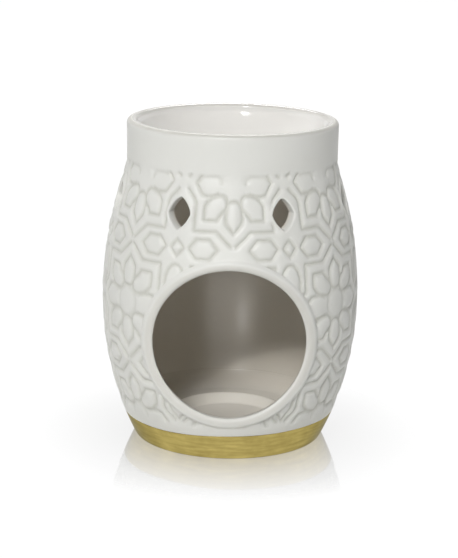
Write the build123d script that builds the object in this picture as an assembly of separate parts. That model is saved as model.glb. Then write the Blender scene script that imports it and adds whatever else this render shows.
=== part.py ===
from build123d import *

import math
import os

# Ceramic oil burner: a bellied pot with a round window in front, an oil dish let into its neck,
# a row of pierced vents under the neck, a gilded foot ring and a floor with a tealight recess.
# Millimetres. The origin is the centre of the face that the foot stands on, +Z is up and the
# window faces -Y.

# Outside form of the pot
total_height = 131.3
belly_diameter = 105.0
belly_height = 58.0
foot_diameter = 77.2
shoulder_diameter = 84.8
neck_height = 17.9
lip_diameter = 85.4
shoulder_blend = 9.0

# Walls of the pot
pot_wall = 4.2
neck_wall = 3.1

# Window, a round mouth cut straight through the front with a raised collar round it
window_diameter = 61.4
window_height = 49.6
collar_width = 4.8
collar_rise = 0.8
collar_depth = 3.0

# Vents, pierced lozenges in a ring under the neck
vent_count = 7
vent_width = 9.2
vent_height = 12.1
vent_drop = 12.6
vent_side_bulge = 0.45

# Pattern pressed into the belly, one column of rosettes for each vent, with leaf fields between
pattern_rows = 3
pattern_row_height = 49.2
pattern_drop = 0.9
pattern_depth = 0.6
pattern_foot_margin = 3.4
pattern_shoulder_margin = 2.0
pattern_window_margin = 0.5

# Oil dish, a bowl let into the neck from above
lip_wall = 4.3
rim_joint_share = 0.5
dish_seat_depth = 12.0
dish_depth = 22.6
dish_wall = 3.4
dish_floor_diameter = 10.0
lip_round = 1.9

# Foot ring, gilded outside
foot_ring_height = 10.9
foot_round = 1.0
foot_tread_width = 5.0
foot_seat_width = 3.4

# Floor with the recess that holds a tealight, and a rim that sweeps up into the pot's wall
floor_height = 8.0
floor_thickness = 3.5
floor_ledge_width = 2.6
floor_rim_wall = 0.6
floor_rim_rise = 3.4
floor_blend = 9.0
recess_diameter = 39.0
recess_floor_height = 4.8
recess_slope_width = 1.7
crest_rise = 0.7
crest_width = 2.4

# Outlines of the pattern, in shares of a column's width and of a row's height. Each inner list is
# one edge. A ground, the hub and the diamond have their upper right quarter here, a pad on the
# upright axis its right half, a pad on the level axis its upper half, and the corner petal is whole.
rosette_ground_shares = [
    [(0, 0.398), (0.098, 0.305), (0.101, 0.26), (0.094, 0.217)],
    [(0.094, 0.217), (0.143, 0.287)],
    [(0.143, 0.287), (0.287, 0.287)],
    [(0.287, 0.287), (0.291, 0.205), (0.281, 0.15), (0.256, 0.111)],
    [(0.256, 0.111), (0.31, 0.102)],
    [(0.31, 0.102), (0.396, 0)],
]
hub_shares = [[(0, 0.114), (0.068, 0.08), (0.095, 0)]]
upright_petal_shares = [[(0, 0.352), (0.06, 0.285), (0.06, 0.22), (0.045, 0.165), (0, 0.148)]]
level_petal_shares = [[(0.348, 0), (0.29, 0.066), (0.2, 0.069), (0.14, 0.052), (0.124, 0)]]
corner_petal_shares = [
    [(0.257, 0.256), (0.26, 0.19), (0.235, 0.135), (0.17, 0.094), (0.09, 0.1)],
    [(0.09, 0.1), (0.083, 0.15), (0.11, 0.205), (0.155, 0.25), (0.257, 0.256)],
]
field_ground_shares = [
    [(0, 0.461), (0.06, 0.46), (0.142, 0.394), (0.162, 0.348)],
    [(0.162, 0.348), (0.162, 0.165)],
    [(0.162, 0.165), (0.352, 0.165)],
    [(0.352, 0.165), (0.478, 0.052)],
    [(0.478, 0.052), (0.478, 0)],
]
diamond_shares = [[(0, 0.062), (0.05, 0)]]
side_pad_shares = [
    [(0.345, 0), (0.288, 0.062)],
    [(0.288, 0.062), (0.182, 0.063)],
    [(0.182, 0.063), (0.13, 0)],
]
leaf_shares = [[(0, 0.128), (0.035, 0.152), (0.063, 0.2), (0.073, 0.275), (0.063, 0.345), (0, 0.42)]]
vent_pad_shares = [
    [(0, 0.1), (0.128, 0.15)],
    [(0.128, 0.15), (0.128, 0.34)],
    [(0.128, 0.34), (0, 0.43)],
]

# Gap that the joining slip fills, and how far cutters run past what they cut
luting_gap = 0.15
overrun = 5.0

belly_radius = belly_diameter / 2
foot_radius = foot_diameter / 2
shoulder_radius = shoulder_diameter / 2
lip_radius = lip_diameter / 2
window_radius = window_diameter / 2
shoulder_height = total_height - neck_height
vent_centre_height = shoulder_height - vent_drop


def bow_radius(reach, rise):
    """Radius of the arc that leaves the belly upright and moves in by reach over a rise."""
    return (reach**2 + rise**2) / (2 * reach)


lower_bow = bow_radius(belly_radius - foot_radius, belly_height)
upper_bow = bow_radius(belly_radius - shoulder_radius, shoulder_height - belly_height)


def wall_radius(height, inset=0):
    """Radius of the bellied wall at a height, on the face that lies inset inside the outer one."""
    bow = lower_bow if height < belly_height else upper_bow
    return belly_radius - bow + math.sqrt((bow - inset) ** 2 - (height - belly_height) ** 2)


def wall_height(radius, inset, above):
    """Height at which the face that lies inset inside the outer one has a radius."""
    bow = upper_bow if above else lower_bow
    rise = math.sqrt((bow - inset) ** 2 - (radius - belly_radius + bow) ** 2)
    return belly_height + rise if above else belly_height - rise


# Places where the pieces meet
rim_joint_radius = lip_radius - lip_wall * rim_joint_share
dish_rim_radius = lip_radius - lip_wall
dish_seat_height = total_height - dish_seat_depth
neck_bore_radius = shoulder_radius - neck_wall
foot_seat_radius = wall_radius(foot_ring_height) - foot_seat_width
ledge_height = floor_height - floor_thickness
foot_bore_radius = foot_radius - foot_tread_width
ledge_radius = foot_bore_radius + floor_ledge_width


def turned(outline):
    """Solid of revolution about Z from a closed outline of radii and heights."""
    return revolve(outline, Axis.Z)


def belly_band(inset, low, high, wall):
    """Outline of a length of the bellied wall, wall thick, whose outer face lies at inset."""
    with BuildSketch(Plane.XZ) as band:
        with BuildLine():
            inner = inset + wall
            middle = belly_radius - inset
            outer_low = (wall_radius(low, inset), low)
            outer_high = (wall_radius(high, inset), high)
            inner_low = (wall_radius(low, inner), low)
            inner_high = (wall_radius(high, inner), high)
            TangentArc((middle, belly_height), outer_low, tangent=(0, -1))
            TangentArc((middle, belly_height), outer_high, tangent=(0, 1))
            Line(outer_high, inner_high)
            TangentArc((middle - wall, belly_height), inner_high, tangent=(0, 1))
            TangentArc((middle - wall, belly_height), inner_low, tangent=(0, -1))
            Line(inner_low, outer_low)
        make_face()
    return band.sketch


def window_plug(radius, depth):
    """Round bar along Y in front of the pot's axis, from the axis to depth beyond the belly."""
    length = belly_radius + depth
    bar = Plane((0, 0, window_height), x_dir=(1, 0, 0), z_dir=(0, -1, 0))
    return extrude(bar * Circle(radius), length)


def window_collar():
    """Raised rim of the window, which follows the curve of the belly."""
    reach = window_radius + collar_width + collar_rise
    low = max(window_height - reach, foot_ring_height)
    band = belly_band(-collar_rise, low, window_height + reach, collar_depth)
    return turned(band) & window_plug(window_radius + collar_width, overrun)


def vent_outline():
    """Lozenge with slightly bowed sides, standing on its point."""
    half_width = vent_width / 2
    half_height = vent_height / 2
    corners = [(half_width, 0), (0, half_height), (-half_width, 0), (0, -half_height)]
    side = math.hypot(half_width, half_height)
    outward = (half_height / side * vent_side_bulge, half_width / side * vent_side_bulge)
    with BuildSketch() as lozenge:
        with BuildLine():
            for start, end in zip(corners, corners[1:] + corners[:1]):
                middle_x = (start[0] + end[0]) / 2
                middle_y = (start[1] + end[1]) / 2
                bowed = (
                    middle_x + math.copysign(outward[0], middle_x),
                    middle_y + math.copysign(outward[1], middle_y),
                )
                ThreePointArc(start, bowed, end)
        make_face()
    return lozenge.sketch


def vent_cutter():
    """Ring of lozenge bars that pierce the wall, with the window midway between two of them."""
    inside = wall_radius(vent_centre_height + vent_height / 2, pot_wall) - overrun
    length = belly_radius + overrun - inside
    bars = []
    for index in range(vent_count):
        turn = (index + 1 / 2) * 360 / vent_count - 90
        across = Plane.XY.rotated((0, 0, turn))
        face = Plane(
            across.from_local_coords((inside, 0, vent_centre_height)),
            x_dir=across.y_dir,
            z_dir=across.x_dir,
        )
        bars.append(extrude(face * vent_outline(), length))
    return Compound(children=bars)


def flipped(edges, across, up):
    """Edges of the pattern mirrored across, up or both."""
    return [[(x * across, y * up) for x, y in edge] for edge in edges]


def all_quarters(edges):
    """Closed loop of edges from its upper right quarter."""
    return [edge for across in (1, -1) for up in (1, -1) for edge in flipped(edges, across, up)]


def both_sides(edges):
    """Closed loop of edges from its right half."""
    return edges + flipped(edges, -1, 1)


def above_and_below(edges):
    """Closed loop of edges from its upper half."""
    return edges + flipped(edges, 1, -1)


def pattern_face(edges, centre_height):
    """Face inside a loop of the pattern, flat as it is seen from straight in front of its middle."""
    column = 2 * math.pi / vent_count

    def placed(share):
        height = centre_height + share[1] * pattern_row_height
        return (wall_radius(height) * math.sin(share[0] * column), height)

    with BuildSketch() as face:
        with BuildLine():
            for edge in edges:
                places = [placed(share) for share in edge]
                if len(places) > 2:
                    Spline(*places)
                else:
                    Line(*places)
        make_face()
    return face.sketch


def rosette(height):
    """Ground of a rosette at a height, with its hub and its eight petals left standing."""
    pads = [
        all_quarters(hub_shares),
        *[flipped(both_sides(upright_petal_shares), 1, up) for up in (1, -1)],
        *[flipped(above_and_below(level_petal_shares), across, 1) for across in (1, -1)],
        *[flipped(corner_petal_shares, across, up) for across in (1, -1) for up in (1, -1)],
    ]
    ground = pattern_face(all_quarters(rosette_ground_shares), height)
    return ground - [pattern_face(pad, height) for pad in pads]


def field(height, upper_pad_shares):
    """Ground of the field between four rosettes, with its diamond, side pads and leaves."""
    pads = [
        all_quarters(diamond_shares),
        *[flipped(above_and_below(side_pad_shares), across, 1) for across in (1, -1)],
        both_sides(upper_pad_shares),
        flipped(both_sides(leaf_shares), 1, -1),
    ]
    ground = pattern_face(all_quarters(field_ground_shares), height)
    return ground - [pattern_face(pad, height) for pad in pads]


def pattern_cutters():
    """Grounds of the pattern that are pressed into the belly, clear of the window's collar."""
    low = foot_ring_height + pattern_foot_margin
    high = shoulder_height - pattern_shoulder_margin
    band = turned(belly_band(-overrun, low, high, overrun + pattern_depth))
    top_row = shoulder_height - pattern_drop
    rosettes = [rosette(top_row - row * pattern_row_height) for row in range(pattern_rows)]
    fields = [
        field(top_row - (row + 1 / 2) * pattern_row_height, leaf_shares if row else vent_pad_shares)
        for row in range(pattern_rows - 1)
    ]
    inside = shoulder_radius / 2
    front = Plane((0, -inside, 0), x_dir=(1, 0, 0), z_dir=(0, -1, 0))
    column = 360 / vent_count
    cutters = []
    for faces, offset in ((rosettes, 0), (fields, 1 / 2)):
        for face in faces:
            ground = extrude(front * face, belly_radius + overrun - inside) & band
            cutters += [ground.rotate(Axis.Z, (index + offset) * column) for index in range(vent_count)]
    clear = window_plug(window_radius + collar_width + pattern_window_margin, overrun)
    return [cutter - clear for cutter in cutters]


def pot_outline():
    """Half section of the pot's wall, from the seat on the foot ring to the rim of the neck."""
    bore_top = wall_height(neck_bore_radius, pot_wall, above=True)
    seat_top = wall_height(foot_seat_radius, pot_wall, above=False)
    belly = (belly_radius, belly_height)
    inner_belly = (belly_radius - pot_wall, belly_height)
    shoulder = (shoulder_radius, shoulder_height)
    with BuildSketch(Plane.XZ) as section:
        with BuildLine():
            TangentArc(belly, (wall_radius(foot_ring_height), foot_ring_height), tangent=(0, -1))
            TangentArc(belly, shoulder, tangent=(0, 1))
            Polyline(
                shoulder,
                (lip_radius, total_height),
                (rim_joint_radius, total_height),
                (rim_joint_radius, dish_seat_height),
                (neck_bore_radius, dish_seat_height),
                (neck_bore_radius, bore_top),
            )
            TangentArc(inner_belly, (neck_bore_radius, bore_top), tangent=(0, 1))
            TangentArc(inner_belly, (foot_seat_radius, seat_top), tangent=(0, -1))
            Polyline(
                (foot_seat_radius, seat_top),
                (foot_seat_radius, foot_ring_height),
                (wall_radius(foot_ring_height), foot_ring_height),
            )
        make_face()
        fillet(corner_at(section, shoulder), shoulder_blend)
        fillet(corner_at(section, (lip_radius, total_height)), lip_round)
    return section.sketch


def corner_at(section, place):
    """The corner of a half section that lies nearest to a radius and a height."""
    point = Vector(place[0], place[1], 0)
    return min(section.vertices(), key=lambda corner: (Vector(corner) - point).length)


def pot_body():
    """Bellied pot with its window, collar, vents and the ledge in the neck."""
    shell = turned(pot_outline()) + window_collar()
    shell -= window_plug(window_radius, overrun)
    return shell - [*pattern_cutters(), vent_cutter()]


def dish_outline():
    """Half section of the oil dish, from the crown of the lip down to its floor."""
    inner_floor = total_height - dish_depth
    outer_floor = inner_floor - dish_wall
    floor_radius = dish_floor_diameter / 2
    rim_outer = rim_joint_radius - luting_gap
    bowl_bow = bow_radius(dish_depth, dish_rim_radius - floor_radius)
    bowl_rise = inner_floor + bowl_bow - dish_seat_height
    seat_inside = floor_radius + math.sqrt((bowl_bow + dish_wall) ** 2 - bowl_rise**2)
    with BuildSketch(Plane.XZ) as section:
        with BuildLine():
            Line((0, outer_floor), (0, inner_floor))
            Line((0, inner_floor), (floor_radius, inner_floor))
            TangentArc((floor_radius, inner_floor), (dish_rim_radius, total_height), tangent=(1, 0))
            Polyline(
                (dish_rim_radius, total_height),
                (rim_outer, total_height),
                (rim_outer, dish_seat_height),
                (seat_inside, dish_seat_height),
            )
            TangentArc((floor_radius, outer_floor), (seat_inside, dish_seat_height), tangent=(1, 0))
            Line((floor_radius, outer_floor), (0, outer_floor))
        make_face()
        fillet(corner_at(section, (dish_rim_radius, total_height)), lip_round)
    return section.sketch


def oil_dish():
    """Bowl for water and oil, whose rim rests on the ledge in the neck."""
    return turned(dish_outline())


def foot_ring_outline():
    """Half section of the foot ring, from the tread to the seat under the pot's wall."""
    bottom = (foot_radius, 0)
    top = (wall_radius(foot_ring_height), foot_ring_height)
    middle_height = foot_ring_height / 2
    with BuildSketch(Plane.XZ) as section:
        with BuildLine():
            ThreePointArc(bottom, (wall_radius(middle_height), middle_height), top)
            Polyline(
                top,
                (foot_seat_radius, foot_ring_height),
                (ledge_radius, ledge_height),
                (foot_bore_radius, ledge_height),
                (foot_bore_radius, 0),
                bottom,
            )
        make_face()
        fillet(corner_at(section, bottom), foot_round)
    return section.sketch


def foot_ring():
    """Gilded ring that the burner stands on."""
    return turned(foot_ring_outline())


def tealight_floor_outline():
    """Half section of the floor, from the recess and its low crest out to the upturned rim."""
    recess_radius = recess_diameter / 2
    crest_inside = recess_radius + recess_slope_width
    crest_outside = crest_inside + crest_width
    underside = recess_floor_height - floor_thickness
    inset = pot_wall + luting_gap
    rim_foot = foot_seat_radius - luting_gap
    rim_bend = wall_height(rim_foot, inset, above=False)
    rim_top = foot_ring_height + floor_rim_rise
    rim_middle = (rim_bend + rim_top) / 2
    rim_outside = wall_radius(rim_top, inset)
    rim_inside = rim_outside - floor_rim_wall
    with BuildSketch(Plane.XZ) as section:
        with BuildLine():
            Polyline(
                (0, underside),
                (0, recess_floor_height),
                (recess_radius, recess_floor_height),
                (crest_inside, floor_height),
            )
            ThreePointArc(
                (crest_inside, floor_height),
                (crest_inside + crest_width / 2, floor_height + crest_rise),
                (crest_outside, floor_height),
            )
            Line((crest_outside, floor_height), (rim_inside - floor_blend, floor_height))
            TangentArc(
                (rim_inside - floor_blend, floor_height), (rim_inside, rim_top), tangent=(1, 0)
            )
            Line((rim_inside, rim_top), (rim_outside, rim_top))
            ThreePointArc(
                (rim_outside, rim_top),
                (wall_radius(rim_middle, inset), rim_middle),
                (rim_foot, rim_bend),
            )
            Polyline(
                (rim_foot, rim_bend),
                (rim_foot, foot_ring_height),
                (ledge_radius - luting_gap, ledge_height),
                (crest_outside, ledge_height),
                (crest_inside, underside),
                (0, underside),
            )
        make_face()
    return section.sketch


def tealight_floor():
    """Floor of the chamber, let into the foot ring and up inside the pot, with the tealight seat."""
    return turned(tealight_floor_outline())


pieces = {
    "pot_body": pot_body(),
    "oil_dish": oil_dish(),
    "foot_ring": foot_ring(),
    "tealight_floor": tealight_floor(),
}

os.makedirs("parts", exist_ok=True)
for name, piece in pieces.items():
    export_step(piece, f"parts/{name}.step", write_pcurves=False)
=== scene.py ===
"""Looks of a ceramic oil burner: embossed white glaze, a gilded foot, and a plain studio."""

import logging
import math
from dataclasses import dataclass, field
from enum import Enum, IntEnum
from typing import Any, Callable, Sequence

import bpy
import bmesh
import numpy as np
from mathutils import Matrix, Vector
from mathutils.geometry import delaunay_2d_cdt


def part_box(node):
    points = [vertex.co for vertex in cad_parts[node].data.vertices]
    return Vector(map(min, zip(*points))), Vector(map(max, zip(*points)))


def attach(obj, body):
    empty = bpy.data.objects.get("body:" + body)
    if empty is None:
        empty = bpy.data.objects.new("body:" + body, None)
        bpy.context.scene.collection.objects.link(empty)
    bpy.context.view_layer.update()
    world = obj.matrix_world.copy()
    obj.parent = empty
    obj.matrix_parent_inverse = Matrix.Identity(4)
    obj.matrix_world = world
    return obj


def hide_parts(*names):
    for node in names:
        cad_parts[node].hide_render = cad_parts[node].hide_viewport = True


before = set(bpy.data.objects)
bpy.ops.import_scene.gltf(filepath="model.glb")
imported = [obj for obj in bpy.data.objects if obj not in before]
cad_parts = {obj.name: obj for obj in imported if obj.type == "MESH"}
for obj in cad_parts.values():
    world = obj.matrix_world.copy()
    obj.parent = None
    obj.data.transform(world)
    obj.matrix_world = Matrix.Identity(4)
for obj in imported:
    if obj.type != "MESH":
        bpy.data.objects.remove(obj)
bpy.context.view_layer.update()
LOG = logging.getLogger("oil_burner")
MM = 0.001
BODY = "root"

# What a point of a mesh is marked with: the wall that the pattern is pressed into, the thin glaze
# of the chamber, and the edges that are darkened: the crown of the lip, which is painted shade,
# and the inner slope of the window's collar.
MARKS = ("skin", "inner", "edge")

# Points on the unrolled wall or in a half section, and points in space, one a row.
Flat = np.ndarray
Places = np.ndarray
Shift = Callable[[np.ndarray, np.ndarray, np.ndarray], tuple[np.ndarray, np.ndarray]]


def frame_mm(node: str) -> tuple[Vector, Vector]:
    """Lowest and highest corners of a CAD node.

    Args:
        node: name of the node in the frame.

    Returns:
        The two corners in millimetres.
    """
    low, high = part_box(node)
    return Vector(low) / MM, Vector(high) / MM


def smooth_step(value: np.ndarray, start: float, end: float) -> np.ndarray:
    """Soft rise from 0 at start to 1 at end.

    Args:
        value: where the rise is wanted.
        start: value at which it leaves 0.
        end: value at which it reaches 1.

    Returns:
        The rise at each value.
    """
    share = np.clip((value - start) / (end - start), 0.0, 1.0)
    return share * share * (3.0 - 2.0 * share)


class Skin(Enum):
    """Face of the pot's wall."""

    OUTSIDE = "outside"
    INSIDE = "inside"


@dataclass(frozen=True)
class PotForm:
    """Turned form of the pot in millimetres."""

    height: float
    belly_radius: float
    seam_height: float
    foot_radius: float = 38.6
    belly_height: float = 58.0
    shoulder_radius: float = 42.4
    neck_height: float = 17.9
    shoulder_softness: float = 1.0
    lip_radius: float = 42.7
    lip_wall: float = 4.3
    lip_round: float = 1.9
    wall: float = 4.2
    bore_radius: float = 39.3
    ledge_depth: float = 12.0
    seat_radius: float = 40.12
    band_lean: float = 0.75
    band_waver: float = 0.12
    band_waves: tuple[tuple[float, int, float], ...] = ((1.0, 3, 0.6), (0.6, 7, 2.0))
    # Shares of the half lip over which the crown's painted shade fades out.
    crown_shade_full_share: float = 0.75
    crown_shade_end_share: float = 1.1

    @classmethod
    def from_frame(cls) -> "PotForm":
        """Form with the height, belly and seam of the CAD pot."""
        low, high = frame_mm("pot_body")
        return cls(height=high.z, belly_radius=high.x, seam_height=low.z)

    @property
    def shoulder_height(self) -> float:
        """Height at which the belly meets the neck."""
        return self.height - self.neck_height

    @property
    def joint_radius(self) -> float:
        """Radius of the seam at the crown of the lip."""
        return self.lip_radius - self.lip_wall / 2

    def bow(self, height: np.ndarray, inset: float) -> np.ndarray:
        """Radius of the bellied wall, without its neck.

        Args:
            height: heights above the table.
            inset: depth under the outer face.

        Returns:
            The radius at each height.
        """
        low_reach = self.belly_radius - self.foot_radius
        top_reach = self.belly_radius - self.shoulder_radius
        top_rise = self.shoulder_height - self.belly_height
        low_bow = (low_reach**2 + self.belly_height**2) / (2 * low_reach)
        top_bow = (top_reach**2 + top_rise**2) / (2 * top_reach)
        bend = np.where(height < self.belly_height, low_bow, top_bow)
        drop = np.clip((bend - inset) ** 2 - (height - self.belly_height) ** 2, 0, None)
        return self.belly_radius - bend + np.sqrt(drop)

    def radius(self, height: np.ndarray, skin: Skin = Skin.OUTSIDE) -> np.ndarray:
        """Radius of the wall, with its neck.

        Args:
            height: heights above the table.
            skin: face of the wall.

        Returns:
            The radius at each height.
        """
        height = np.asarray(height, dtype=float)
        if skin is Skin.INSIDE:
            return np.maximum(self.bow(height, self.wall), self.bore_radius)
        flare = (self.lip_radius - self.shoulder_radius) / self.neck_height
        neck = self.shoulder_radius + flare * (height - self.shoulder_height)
        belly = self.bow(height, 0.0)
        blended = (belly + neck + np.hypot(belly - neck, self.shoulder_softness)) / 2
        return np.where(height > self.belly_height, blended, belly)

    def lean(self, height: np.ndarray, skin: Skin = Skin.OUTSIDE) -> np.ndarray:
        """Change of radius with height, which tilts the wall's normal."""
        step = 0.05
        return (self.radius(height + step, skin) - self.radius(height - step, skin)) / (2 * step)

    def lip_crown_shade(self, radius: float, height: float) -> float:
        """Edge mark of a place on the lip, which paints shade on its crown.

        Args:
            radius: distance from the axis.
            height: height above the table.

        Returns:
            1 at the crown of the lip, where the painted shade is darkest, and 0 off the lip.
        """
        off = abs(radius - self.joint_radius) / (self.lip_wall / 2)
        up = smooth_step(np.array(height), self.height - self.lip_round, self.height)
        away = smooth_step(np.array(off), self.crown_shade_full_share, self.crown_shade_end_share)
        return float(up) * (1.0 - float(away))

    def seam(self, angle: np.ndarray) -> np.ndarray:
        """Height of the hand-painted edge of the gilding round the foot.

        Args:
            angle: angle from the front, positive towards +X.

        Returns:
            The height at each angle.
        """
        lean = self.band_lean * np.sin(angle)
        waver = sum(size * np.sin(turns * angle + start) for size, turns, start in self.band_waves)
        return self.seam_height + lean + self.band_waver * waver


def on_wall(
    form: PotForm, angle: np.ndarray, height: np.ndarray, skin: Skin, rise: np.ndarray | float = 0.0
) -> Places:
    """Places on the pot's wall.

    Args:
        form: the pot.
        angle: angles from the front, positive towards +X.
        height: heights above the table.
        skin: face of the wall.
        rise: how far the places stand off the face, along its normal.

    Returns:
        The places, one row each.
    """
    slope = form.lean(height, skin)
    length = np.hypot(1.0, slope)
    radius = form.radius(height, skin) + rise / length
    level = height - rise * slope / length
    return np.stack([radius * np.sin(angle), -radius * np.cos(angle), level], axis=-1)


class MeshSketch:
    """Points and faces of a mesh while it is drawn, in millimetres."""

    def __init__(self) -> None:
        """Starts with nothing drawn."""
        self.blocks: list[Places] = []
        self.marks: dict[str, list[np.ndarray]] = {mark: [] for mark in MARKS}
        self.count = 0
        self.faces: list[tuple[int, ...]] = []
        self.slots: list[int] = []

    def add(self, places: Places, **marks: float) -> np.ndarray:
        """Adds points.

        Args:
            places: the points, one row each.
            marks: value of each mark on them, 0 where it is left out.

        Returns:
            Their numbers in the mesh.
        """
        numbers = np.arange(self.count, self.count + len(places))
        self.blocks.append(np.asarray(places, dtype=float))
        for mark, values in self.marks.items():
            values.append(np.full(len(places), marks.get(mark, 0.0)))
        self.count += len(places)
        return numbers

    def face(self, corners: Sequence[int], slot: int = 0) -> None:
        """Adds a face with its material slot."""
        self.faces.append(tuple(int(corner) for corner in corners))
        self.slots.append(slot)

    def bridge(self, first: np.ndarray, second: np.ndarray, slot: int = 0) -> None:
        """Joins two closed rings of as many points with a band of quads."""
        for near, far in zip(range(len(first)), list(range(1, len(first))) + [0]):
            self.face((first[near], first[far], second[far], second[near]), slot)

    def bands(self, rings: Sequence[np.ndarray], slot: int = 0) -> None:
        """Joins each closed ring of a list with the next."""
        for first, second in zip(rings, rings[1:]):
            self.bridge(first, second, slot)

    def object(self, name: str, materials: Sequence[bpy.types.Material]) -> bpy.types.Object:
        """Makes the closed mesh object, with its faces turned outwards.

        Args:
            name: name of the piece.
            materials: one for each slot.

        Returns:
            The object, linked to the scene.
        """
        mesh = bpy.data.meshes.new(name)
        points = np.concatenate(self.blocks) * MM
        mesh.from_pydata(points.tolist(), [], self.faces)
        for mark, blocks in self.marks.items():
            values = mesh.attributes.new(mark, "FLOAT", "POINT")
            values.data.foreach_set("value", np.concatenate(blocks))
        for material in materials:
            mesh.materials.append(material)
        mesh.polygons.foreach_set("material_index", self.slots)
        piece = bpy.data.objects.new(name, mesh)
        bpy.context.scene.collection.objects.link(piece)
        tidy_mesh(mesh)
        return piece


def tidy_mesh(
    mesh: bpy.types.Mesh, sharp_angle: float = math.radians(50.0), merge_gap: float = 0.0015
) -> None:
    """Merges doubles, turns the faces outwards and shades them smooth.

    Args:
        mesh: the mesh to be tidied.
        sharp_angle: angle from which an edge stays sharp.
        merge_gap: distance in millimetres up to which points are merged.
    """
    work = bmesh.new()
    work.from_mesh(mesh)
    bmesh.ops.remove_doubles(work, verts=work.verts, dist=merge_gap * MM)
    bmesh.ops.recalc_face_normals(work, faces=work.faces)
    for face in work.faces:
        face.smooth = True
    work.to_mesh(mesh)
    work.free()
    mesh.set_sharp_from_angle(angle=sharp_angle)
    mesh.update()


def stand_in(piece: bpy.types.Object, node: str) -> None:
    """Lets a piece stand for a CAD node on the burner's body."""
    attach(piece, BODY)
    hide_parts(node)


def rounded_outline(
    corners: Sequence[tuple[float, float, float]],
    closed: bool,
    steps: int = 6,
    reach_share: float = 0.48,
) -> Flat:
    """Outline whose corners are rounded with arcs.

    Args:
        corners: radius, height and rounding of each corner.
        closed: whether the last corner joins the first.
        steps: pieces that each arc is cut into.
        reach_share: how much of a side an arc may take up.

    Returns:
        The points of the outline.
    """
    points: list[np.ndarray] = []
    count = len(corners)
    for index, (radius, height, rounding) in enumerate(corners):
        here = np.array([radius, height])
        if rounding <= 0 or (not closed and index in (0, count - 1)):
            points.append(here)
            continue
        before = np.array(corners[index - 1][:2]) - here
        after = np.array(corners[(index + 1) % count][:2]) - here
        before_length, after_length = np.linalg.norm(before), np.linalg.norm(after)
        before, after = before / before_length, after / after_length
        half = math.acos(float(np.clip(before @ after, -1, 1))) / 2
        longest = reach_share * min(before_length, after_length)
        reach = min(rounding / math.tan(half), longest)
        start, end = here + before * reach, here + after * reach
        for step in range(steps + 1):
            share = step / steps
            points.append(
                (1 - share) ** 2 * start + 2 * share * (1 - share) * here + share**2 * end
            )
    return np.array(points)


def turn_outline(
    sketch: MeshSketch,
    outline: Flat,
    segments: int,
    closed: bool = False,
    shift: Shift = lambda radius, height, angle: (radius, height),
    slot_of: Callable[[float, float], int] = lambda radius, height: 0,
    edge_of: Callable[[float, float], float] = lambda radius, height: 0.0,
    inner_of: Callable[[float, float], float] = lambda radius, height: 0.0,
) -> None:
    """Turns an outline about the pot's axis.

    Args:
        sketch: where the mesh is drawn.
        outline: radii and heights.
        segments: faces round the axis.
        closed: whether the outline closes on itself. If not, it ends on the axis twice.
        shift: gives the radii and heights of a ring from its radius, height and angles.
        slot_of: material slot of a band from its middle radius and height.
        edge_of: edge mark of a ring from its radius and height.
        inner_of: mark of a ring that lies inside the chamber, from the same.
    """
    angles = np.arange(segments) * (2 * math.pi / segments)
    rings = []
    for radius, height in outline:
        ring_radius, ring_height = shift(np.full(segments, radius), np.full(segments, height), angles)
        ring = np.stack(
            [ring_radius * np.sin(angles), -ring_radius * np.cos(angles), ring_height], axis=-1
        )
        place = float(radius), float(height)
        rings.append(sketch.add(ring, edge=edge_of(*place), inner=inner_of(*place)))
    order = list(range(len(rings)))
    pairs = list(zip(order, order[1:])) + ([(order[-1], 0)] if closed else [])
    for first, second in pairs:
        middle = (outline[first] + outline[second]) / 2
        sketch.bridge(rings[first], rings[second], slot_of(float(middle[0]), float(middle[1])))


class Stroke(Enum):
    """Kinds of line in the pattern, which differ in depth and in the rows where they show."""

    STRAP = "strap"
    HUB = "hub"
    LEAF = "leaf"
    CAP = "cap"


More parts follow.
